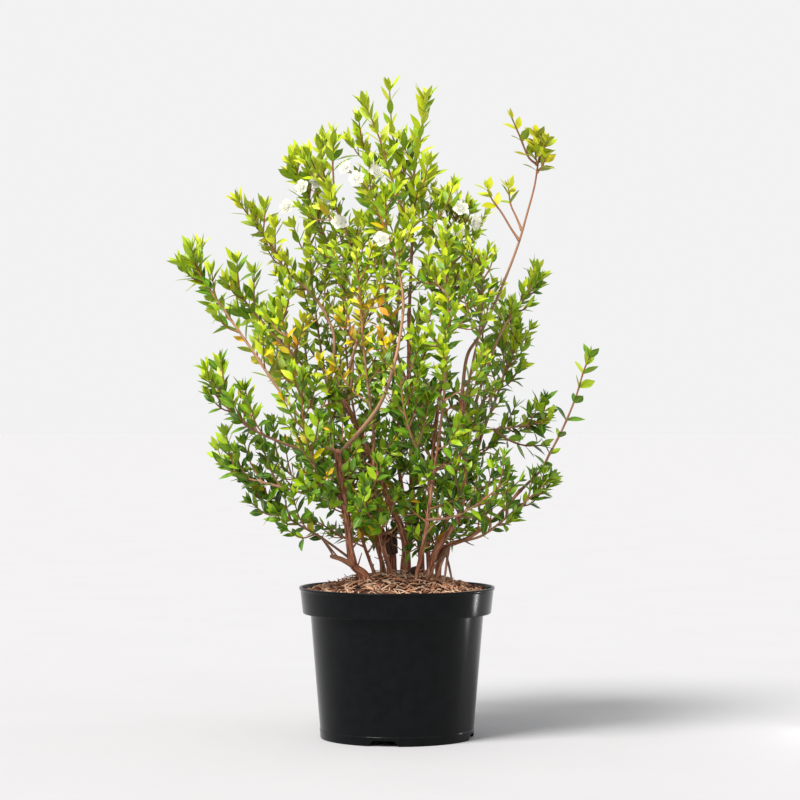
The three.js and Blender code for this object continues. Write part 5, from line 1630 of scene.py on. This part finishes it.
# %% The leaf's nodes
def leaf_skin():
    material, tree, shader = new_material("leaf_skin", Specular_IOR_Level=0.34)
    place, tint = parts_of(tree, "place"), parts_of(tree, "tint")
    grain = grain_of(tree, 1600.0)
    # Tint X, freshness with painted light and shade, picks the green.
    mottled = work(tree, "ADD", tint["X"], spread(tree, grain["Patches"], 0.3, 0.7, -0.09, 0.09))
    green = ramp(tree, mottled, [(0.0, colour(30, 76, 8)), (0.25, colour(86, 136, 4)),
                                 (0.5, colour(148, 180, 4)), (0.75, colour(190, 204, 12)),
                                 (1.0, colour(214, 218, 66))])
    yellow = ramp(tree, tint["Z"], [(0.0, colour(206, 198, 22)), (0.6, colour(244, 204, 26)),
                                    (1.0, colour(236, 146, 24))])
    aged = blend(tree, tint["Y"], green, yellow)
    from_rib = work(tree, "ABSOLUTE", place["X"])
    rib = spread(tree, from_rib, 0.03, 0.16, 1.0, 0.0)
    rows, rise = work(tree, "MULTIPLY", place["Y"], 11.0), work(tree, "MULTIPLY", from_rib, 1.7)
    slant = work(tree, "SUBTRACT", rows, rise)
    veins = spread(tree, work(tree, "PINGPONG", slant, 0.5), 0.0, 0.11, 1.0, 0.0)
    drawn = work(tree, "MAXIMUM", rib, work(tree, "MULTIPLY", veins, 0.35))
    veined = blend(tree, work(tree, "MULTIPLY", drawn, 0.4), aged, colour(190, 204, 80))
    edged = blend(tree, spread(tree, from_rib, 0.86, 1.0, 0.0, 0.35), veined, colour(176, 190, 60))
    under = spread(tree, place["Z"], -0.2, -0.6)
    both_faces = blend(tree, work(tree, "MULTIPLY", under, 0.4), edged, colour(142, 168, 66))
    glossy = spread(tree, grain["Specks"], 0.3, 0.7, 0.3, 0.44)
    coat(tree, shader, both_faces, work(tree, "ADD", glossy, work(tree, "MULTIPLY", under, 0.25)))
    sunk, pores = work(tree, "MULTIPLY", drawn, -1.0), work(tree, "MULTIPLY", grain["Specks"], 0.4)
    bump(tree, shader, work(tree, "ADD", sunk, pores), 0.00018, 0.8)
    return material


LEAF_SKIN = leaf_skin()

# %% [markdown]
# Leafy stems
# One piece per stem holds its wood and its leaves, as one grown thing, with two materials. Twigs
# are thicker at each pair of leaves and where they leave their parent, as a flared collar. The
# youngest twigs are thin, and their tint says so to the twig's skin.

# %% Twigs
SPINE_STEP = 5.5
SHOOT_STEP = 7.5
COLLAR = 0.55
COLLAR_LENGTH = 4.0
SUNLIT_WOOD = [GROWTH[name][0] for name in ("front_arch_stem", "far_left_stem")]


def add_twig(basket, rod):
    """A spine has more sides and rings than a shoot, and older wood at its foot."""
    is_spine = rod.order == 0
    sides, step = (10, SPINE_STEP) if is_spine else (6, SHOOT_STEP)
    foot_age, ageing = (0.0, 1.5) if is_spine else (0.45, 1.1)
    count = max(5, math.ceil(rod.length / step))
    shares = [i / count for i in range(count + 1)]
    axes = carried(rod.points, rod.across, shares)
    places = [share for _, share, _ in rod.leaf_nodes()]
    radii = swollen([rod.radius_at(share) for share in shares], shares, rod.length, places, 0.22, 3.0)
    for i, share in enumerate(shares):
        radii[i] *= 1 + COLLAR * math.exp(-share * rod.length / COLLAR_LENGTH)
    rounded_end(axes, radii, radii[-1])
    ages = [mix(foot_age, 1.0, share**ageing) for share in shares] + [1] * len(DOME)
    # The sunlit stems are kept at their lightest, as painted sunlight; the others darken by chance.
    bright = 1 if rod in SUNLIT_WOOD else 0.85 * draw(rod.seed)
    tints = [(age, bright, 0) for age in ages]
    add_tube(basket, axes, radii, sides, tints, grain_start=100 * draw(rod.seed))


def stem_basket(name):
    basket = Basket()
    kept = 0
    for rod in GROWTH[name]:
        add_twig(basket, rod)
        leaves = [leaf_at(rod, node, node[0] % 2 + turn) for node in rod.leaf_nodes() for turn in (0, 2)]
        for leaf in leaves + tuft_of(rod):
            if settle(leaf):
                corners, faces, where = blade_corners(leaf)
                basket.add(corners, faces, where, leaf_tint(leaf), slot=1)
                kept += 1
    return basket, kept


leaf_count = 0
for name in GROWTH:
    basket, kept = stem_basket(name)
    dressed = [name] if name in STEMS else []
    title = name + "_grown" if dressed else name
    make_piece(title, basket, [TWIG_SKIN, LEAF_SKIN], dressed, sharp=55)
    leaf_count += kept
print("leaves:", leaf_count)

# %% [markdown]
# Blooms and buds
# Myrtle blooms are white stars of five round petals round a wide brush of fine stamens, on thin
# stalks. A white disc would do from afar, but the brush is what tells a myrtle. So the petals are
# cupped solids with a soft wave, and each stamen is a thin bent thread with a grain of pollen on it.
# Round buds on the same kind of stalk are blooms that are yet to open.

# %% Sizes of a bloom
COROLLA_RADIUS = 11.5
PETAL_ROOT = 1.4
PETAL_HALF = 4.6
PETAL_CUP = (0.5, 3.4)
HALF_THICKNESS = 0.14
PETALS = 5
STAMEN_COUNT = 110
STAMEN_LENGTH = (5.6, 9.6)
STAMEN_RADII = (0.24, 0.17)
STAMEN_LEANS = (4, 78)


# %% Petal
def petal_cup(along, side, seed):
    """How far a petal curls up at a place on it: cupped, raised at its edges, and a little wavy."""
    cup = mix(*PETAL_CUP, draw(seed + 0.6)) * along**1.6
    cup = cup + 1.5 * side * side * along * (1 - 0.6 * along)
    return cup + (0.45 * math.sin(4 * side + 7 * seed) - 0.8 * max(0, along - 0.7)) * along


def add_petal(basket, heart, face, turn, seed):
    """A round cupped petal with a narrow foot: a grid of corners, above and below."""
    out = aside(face, turn)
    across = face.cross(out)
    rows, columns = 7, 7
    corners, places = [], []
    for level in (1, -1):
        for i in range(rows):
            along = i / (rows - 1)
            swell = 0.03 + 0.95 * along**1.35
            half = PETAL_HALF * (4 * swell * (1 - swell)) ** 0.5
            for j in range(columns):
                side = 2 * j / (columns - 1) - 1
                reach = PETAL_ROOT + (COROLLA_RADIUS - PETAL_ROOT) * along - 0.6 * along * side * side
                lift = petal_cup(along, side, seed) + level * HALF_THICKNESS
                corners.append(heart + out * reach + across * (half * side) + face * lift)
                places.append((side, along, level))
    faces = []
    for i in range(rows - 1):
        for j in range(columns - 1):
            a = i * columns + j
            faces.append((a, a + 1, a + columns + 1, a + columns))
            faces.append(tuple(rows * columns + k for k in (a + columns, a + columns + 1, a + 1, a)))
    rim = list(range(columns)) + [i * columns + columns - 1 for i in range(1, rows)]
    rim += [(rows - 1) * columns + j for j in reversed(range(columns - 1))]
    rim += [i * columns for i in reversed(range(1, rows - 1))]
    for here, there in zip(rim, rim[1:] + rim[:1]):
        faces.append((there, here, here + rows * columns, there + rows * columns))
    basket.add(corners, faces, places, (0, draw(seed), 0))


# %% Thread and bead
BEAD_PROFILE = [(-1.0, 0.25), (-0.6, 0.78), (0.0, 1.0), (0.6, 0.8), (1.0, 0.3)]


def add_thread(basket, path, radii, sides, tint, slot, steps=5):
    """A thin bent tube, for stalks and stamens."""
    shares = [i / steps for i in range(steps + 1)]
    axes = carried(path, aside((path[1] - path[0]).normalized(), 0), shares)
    add_tube(basket, axes, [mix(*radii, share) for share in shares], sides, [tint] * len(shares), slot)


def add_bead(basket, middle, along, size, tint, slot, sides=6):
    """A small egg: rings that swell and close."""
    axis = aside(along, 0)
    axes = [(middle + along * (size * reach), along, axis, along.cross(axis)) for reach, _ in BEAD_PROFILE]
    radii = [size * swell for _, swell in BEAD_PROFILE]
    add_tube(basket, axes, radii, sides, [tint] * len(BEAD_PROFILE), slot)


# %% Sepal and stamens
# A bloom's first finish is the petals' own, and these are the places of the others in its list.
STALK_SKIN, SEPAL_SKIN, STAMEN_WHITE, POLLEN = 1, 2, 3, 4


def add_sepal(basket, heart, face, turn, luck):
    """A short broad leaf under the petals."""
    out = aside(face, turn)
    heading = (out + face * 0.3).normalized()
    sepal = dict(root=heart - face + out, heading=heading, face=square_to(face, heading),
                 length=4.6, width=3.0, luck=luck, tipward=PAST_TIP)
    corners, faces, where = blade_corners(sepal)
    basket.add(corners, faces, where, (0.55, 0, 0.5), slot=SEPAL_SKIN)


def add_stamens(basket, heart, face, seed):
    """Threads with a grain of pollen on each, evenly spread by the golden angle."""
    for i in range(STAMEN_COUNT):
        level = aside(face, i * GOLDEN_ANGLE)
        lean = math.radians(mix(*STAMEN_LEANS, math.sqrt((i + 0.5) / STAMEN_COUNT)))
        out = face * math.cos(lean) + level * math.sin(lean)
        base = heart + level * 1.1
        tall = mix(*STAMEN_LENGTH, draw(seed + i + 0.3))
        path = [base, base + out * (tall * 0.5) - face * 0.3, base + out * tall + face * 0.8]
        add_thread(basket, path, STAMEN_RADII, 3, (1, 1, 1), STAMEN_WHITE, 3)
        add_bead(basket, path[-1], out, 0.46, (1, 0, 1), POLLEN, 5)


# %% A whole bloom
def add_bloom(basket, foot, heart, face, seed):
    """A stalk, a green cup with its sepals, the petals, the stamens and the pistil."""
    face = face.normalized()
    way = (heart - foot).normalized()
    stalk = [foot, foot + way * ((heart - foot).length * 0.5) + UP, heart - face * 2.6]
    add_thread(basket, stalk, (0.6, 0.75), 6, (0.75, 0.5, 0), STALK_SKIN)
    add_bead(basket, heart - face * 1.7, face, 2.0, (0.93, 0.5, 0), STALK_SKIN, 8)
    add_bead(basket, heart, face, 1.9, (0, 0, 0), STAMEN_WHITE, 10)
    for i in range(PETALS):
        luck = draw(seed + i)
        add_sepal(basket, heart, face, (i + 0.5) * 2 * math.pi / PETALS, luck)
        add_petal(basket, heart, face, i * 2 * math.pi / PETALS + 0.12 * (luck - 0.5), seed + i)
    add_stamens(basket, heart, face, seed)
    pistil = [heart, heart + face * 4, heart + face * 8.2]
    add_thread(basket, pistil, (0.25, 0.16), 5, (1, 0.6, 0), STALK_SKIN, 3)


# %% Finishes of a bloom
def petal_white():
    material, tree, shader = new_material("petal_white", Specular_IOR_Level=0.3, Subsurface_Weight=0.15)
    place = parts_of(tree, "place")
    grain = grain_of(tree, 2500.0)
    fan = work(tree, "PINGPONG", work(tree, "MULTIPLY", place["X"], 3.0), 0.5)
    veins = spread(tree, fan, 0.0, 0.3, 1.0, 0.0)
    white = blend(tree, work(tree, "MULTIPLY", veins, 0.25), colour(254, 253, 250), colour(238, 240, 228))
    foot = blend(tree, spread(tree, place["Y"], 0.0, 0.3, 0.3, 0.0), white, colour(222, 226, 178))
    coat(tree, shader, foot, spread(tree, grain["Specks"], 0.3, 0.7, 0.45, 0.6))
    bump(tree, shader, work(tree, "ADD", veins, grain["Specks"]), 0.00008, 0.6)
    return material


def thread_finish(name, pale, deep):
    """A soft finish for stamens and pollen, mottled between two colours."""
    material, tree, shader = new_material(name, Specular_IOR_Level=0.2)
    specks = grain_of(tree, 1800.0)["Specks"]
    mottled = blend(tree, spread(tree, specks, 0.35, 0.65), pale, deep)
    coat(tree, shader, mottled, spread(tree, specks, 0.3, 0.7, 0.5, 0.75))
    return material


BLOOM_FINISHES = [petal_white(), TWIG_SKIN, LEAF_SKIN,
                  thread_finish("stamen_white", colour(253, 253, 250), colour(242, 244, 232)),
                  thread_finish("pollen", colour(253, 250, 236), colour(240, 228, 186))]

# %% The blooms on their stems
for number, (name, bloom) in enumerate(BLOOMS.items()):
    spine = GROWTH[bloom["stem"]][0]
    foot = point_on(spine.points, bloom["at"])
    along = heading_on(spine.points, bloom["at"])
    out = sum((Vector(heart) - foot for heart, _ in bloom["heads"]), Vector())
    out = (out - along * out.dot(along)).normalized()
    foot += out * (ROOTED * spine.radius_at(bloom["at"]))
    basket = Basket()
    for i, (heart, face) in enumerate(bloom["heads"]):
        add_bloom(basket, foot, Vector(heart), Vector(face), 10.0 * number + i)
    make_piece(name + "_open", basket, BLOOM_FINISHES, [name], sharp=60)
print("blooms:", sum(len(bloom["heads"]) for bloom in BLOOMS.values()))

# %% Buds on thin stalks
BUD_STALK = (12, 19)
BUD_RADIUS = (1.6, 2.3)
BUDDING = {"upper_right_stem": (0.72, 0.84, 0.9), "trunk_top_left_stem": (0.7, 0.8),
           "trunk_right_stem": (0.62, 0.74), "front_arch_stem": (0.86, 0.93), "tall_centre_stem": (0.36,)}
buds = Basket()
for name, shares in BUDDING.items():
    spine = GROWTH[name][0]
    for i, share in enumerate(shares):
        axes = spine.axes_at(share)
        for side in (i % 2, i % 2 + 2):
            out = way_out(axes, side + 0.3)
            foot = axes[0] + out * (0.6 * spine.radius_at(share))
            luck = draw(spine.seed + 3 * i + side)
            bud = foot + (out * 0.8 + axes[1] * 0.7 + UP * 0.3).normalized() * mix(*BUD_STALK, luck)
            add_thread(buds, [foot, (foot + bud) / 2 - UP * 0.8, bud], (0.5, 0.4), 6, (0.8, 0.5, 0), 0)
            add_bead(buds, bud + UP * 1.5, UP, mix(*BUD_RADIUS, luck), (0.12 + 0.3 * luck, 0, 0.4), 1, 10)
make_piece("round_buds", buds, [TWIG_SKIN, LEAF_SKIN])
print("bud faces:", len(buds.faces))

# %% [markdown]
# Floor, light and camera
# The bush is shown on a plain pale floor under soft studio light. A bright, even room lights it from
# all round, and a soft sun on the upper left gives its leaves their sunny side. A small low strip
# beside the pot shows only in reflections, as the narrow gleam on the pot's wall. The camera stands
# where the photograph's stood: level, 3.4 m away, with a long lens.

# %% Floor
def pale_floor():
    material, tree, shader = new_material("pale_floor", Specular_IOR_Level=0.15)
    grain = grain_of(tree, 60.0)
    pale = blend(tree, spread(tree, grain["Patches"], 0.3, 0.7), colour(189, 188, 190), colour(187, 186, 188))
    coat(tree, shader, pale, spread(tree, grain["Specks"], 0.3, 0.7, 0.75, 0.9))
    return material


FLOOR_REACH = 30.0
FLOOR_CORNERS = [(x * FLOOR_REACH, y * FLOOR_REACH, 0) for x, y in ((-1, -1), (1, -1), (1, 1), (-1, 1))]
floor_mesh = bpy.data.meshes.new("studio_floor")
floor_mesh.from_pydata(FLOOR_CORNERS, [], [(0, 1, 2, 3)])
floor_mesh.materials.append(pale_floor())
floor = bpy.data.objects.new("studio_floor", floor_mesh)
show(floor)
print("floor from", FLOOR_CORNERS[0], "to", FLOOR_CORNERS[2])

# %% The room: its own light, and the plain wall that the camera sees
room = bpy.data.worlds.new("studio_room")
bpy.context.scene.world = room
room.use_nodes = True
tree, nodes = room.node_tree, room.node_tree.nodes
nodes["Background"].inputs["Color"].default_value = (0.98, 0.99, 1.0, 1.0)
nodes["Background"].inputs["Strength"].default_value = 0.72
wall = add_node(tree, "ShaderNodeBackground", {"Color": (0.89, 0.89, 0.89, 1.0), "Strength": 1.0})
seen = add_node(tree, "ShaderNodeLightPath").outputs["Is Camera Ray"]
choice = {0: seen, 1: nodes["Background"].outputs[0], 2: wall.outputs[0]}
lead(tree, add_node(tree, "ShaderNodeMixShader", choice).outputs[0], nodes["World Output"].inputs["Surface"])


# %% The lamps
def turned_along(way):
    """The turn of a lamp that shines along a way."""
    return way.to_track_quat("-Z", "Y").to_euler()


sunny = bpy.data.lights.new("window_light", "SUN")
sunny.energy, sunny.angle, sunny.color = 4.5, math.radians(24), (1.0, 0.985, 0.95)
window = bpy.data.objects.new("window_light", sunny)
window.rotation_euler = turned_along(Vector((0.55, 0.6, -1.0)))
show(window)

strip = bpy.data.lights.new("gleam_light", "AREA")
strip.shape = "RECTANGLE"
strip.size, strip.size_y, strip.energy = 0.014, 0.12, 0.4
gleam = bpy.data.objects.new("gleam_light", strip)
gleam.location = (0.57, 0.12, 0.08)
gleam.rotation_euler = turned_along(Vector((0.1, -0.07, 0.18)) - gleam.location)
gleam.visible_camera = False
gleam.visible_diffuse = False
show(gleam)
print("lamps:", window.name, gleam.name)

# %% Camera
CAMERA_DISTANCE = 3.4
CAMERA_HEIGHT = 0.448
CAMERA_SIDE = 0.004
lens = bpy.data.cameras.new("camera")
lens.lens, lens.sensor_width = 115, 36
lens.clip_end = 60
camera = bpy.data.objects.new("camera", lens)
camera.location = (CAMERA_SIDE, -CAMERA_DISTANCE, CAMERA_HEIGHT)
camera.rotation_euler = (math.pi / 2, 0, 0)
show(camera)
bpy.context.scene.camera = camera
bpy.context.scene.view_settings.view_transform = "Standard"
print("camera at", tuple(round(v, 3) for v in camera.location))

print("triangles:", sum(triangle_counts), "the most in one piece:", max(triangle_counts))
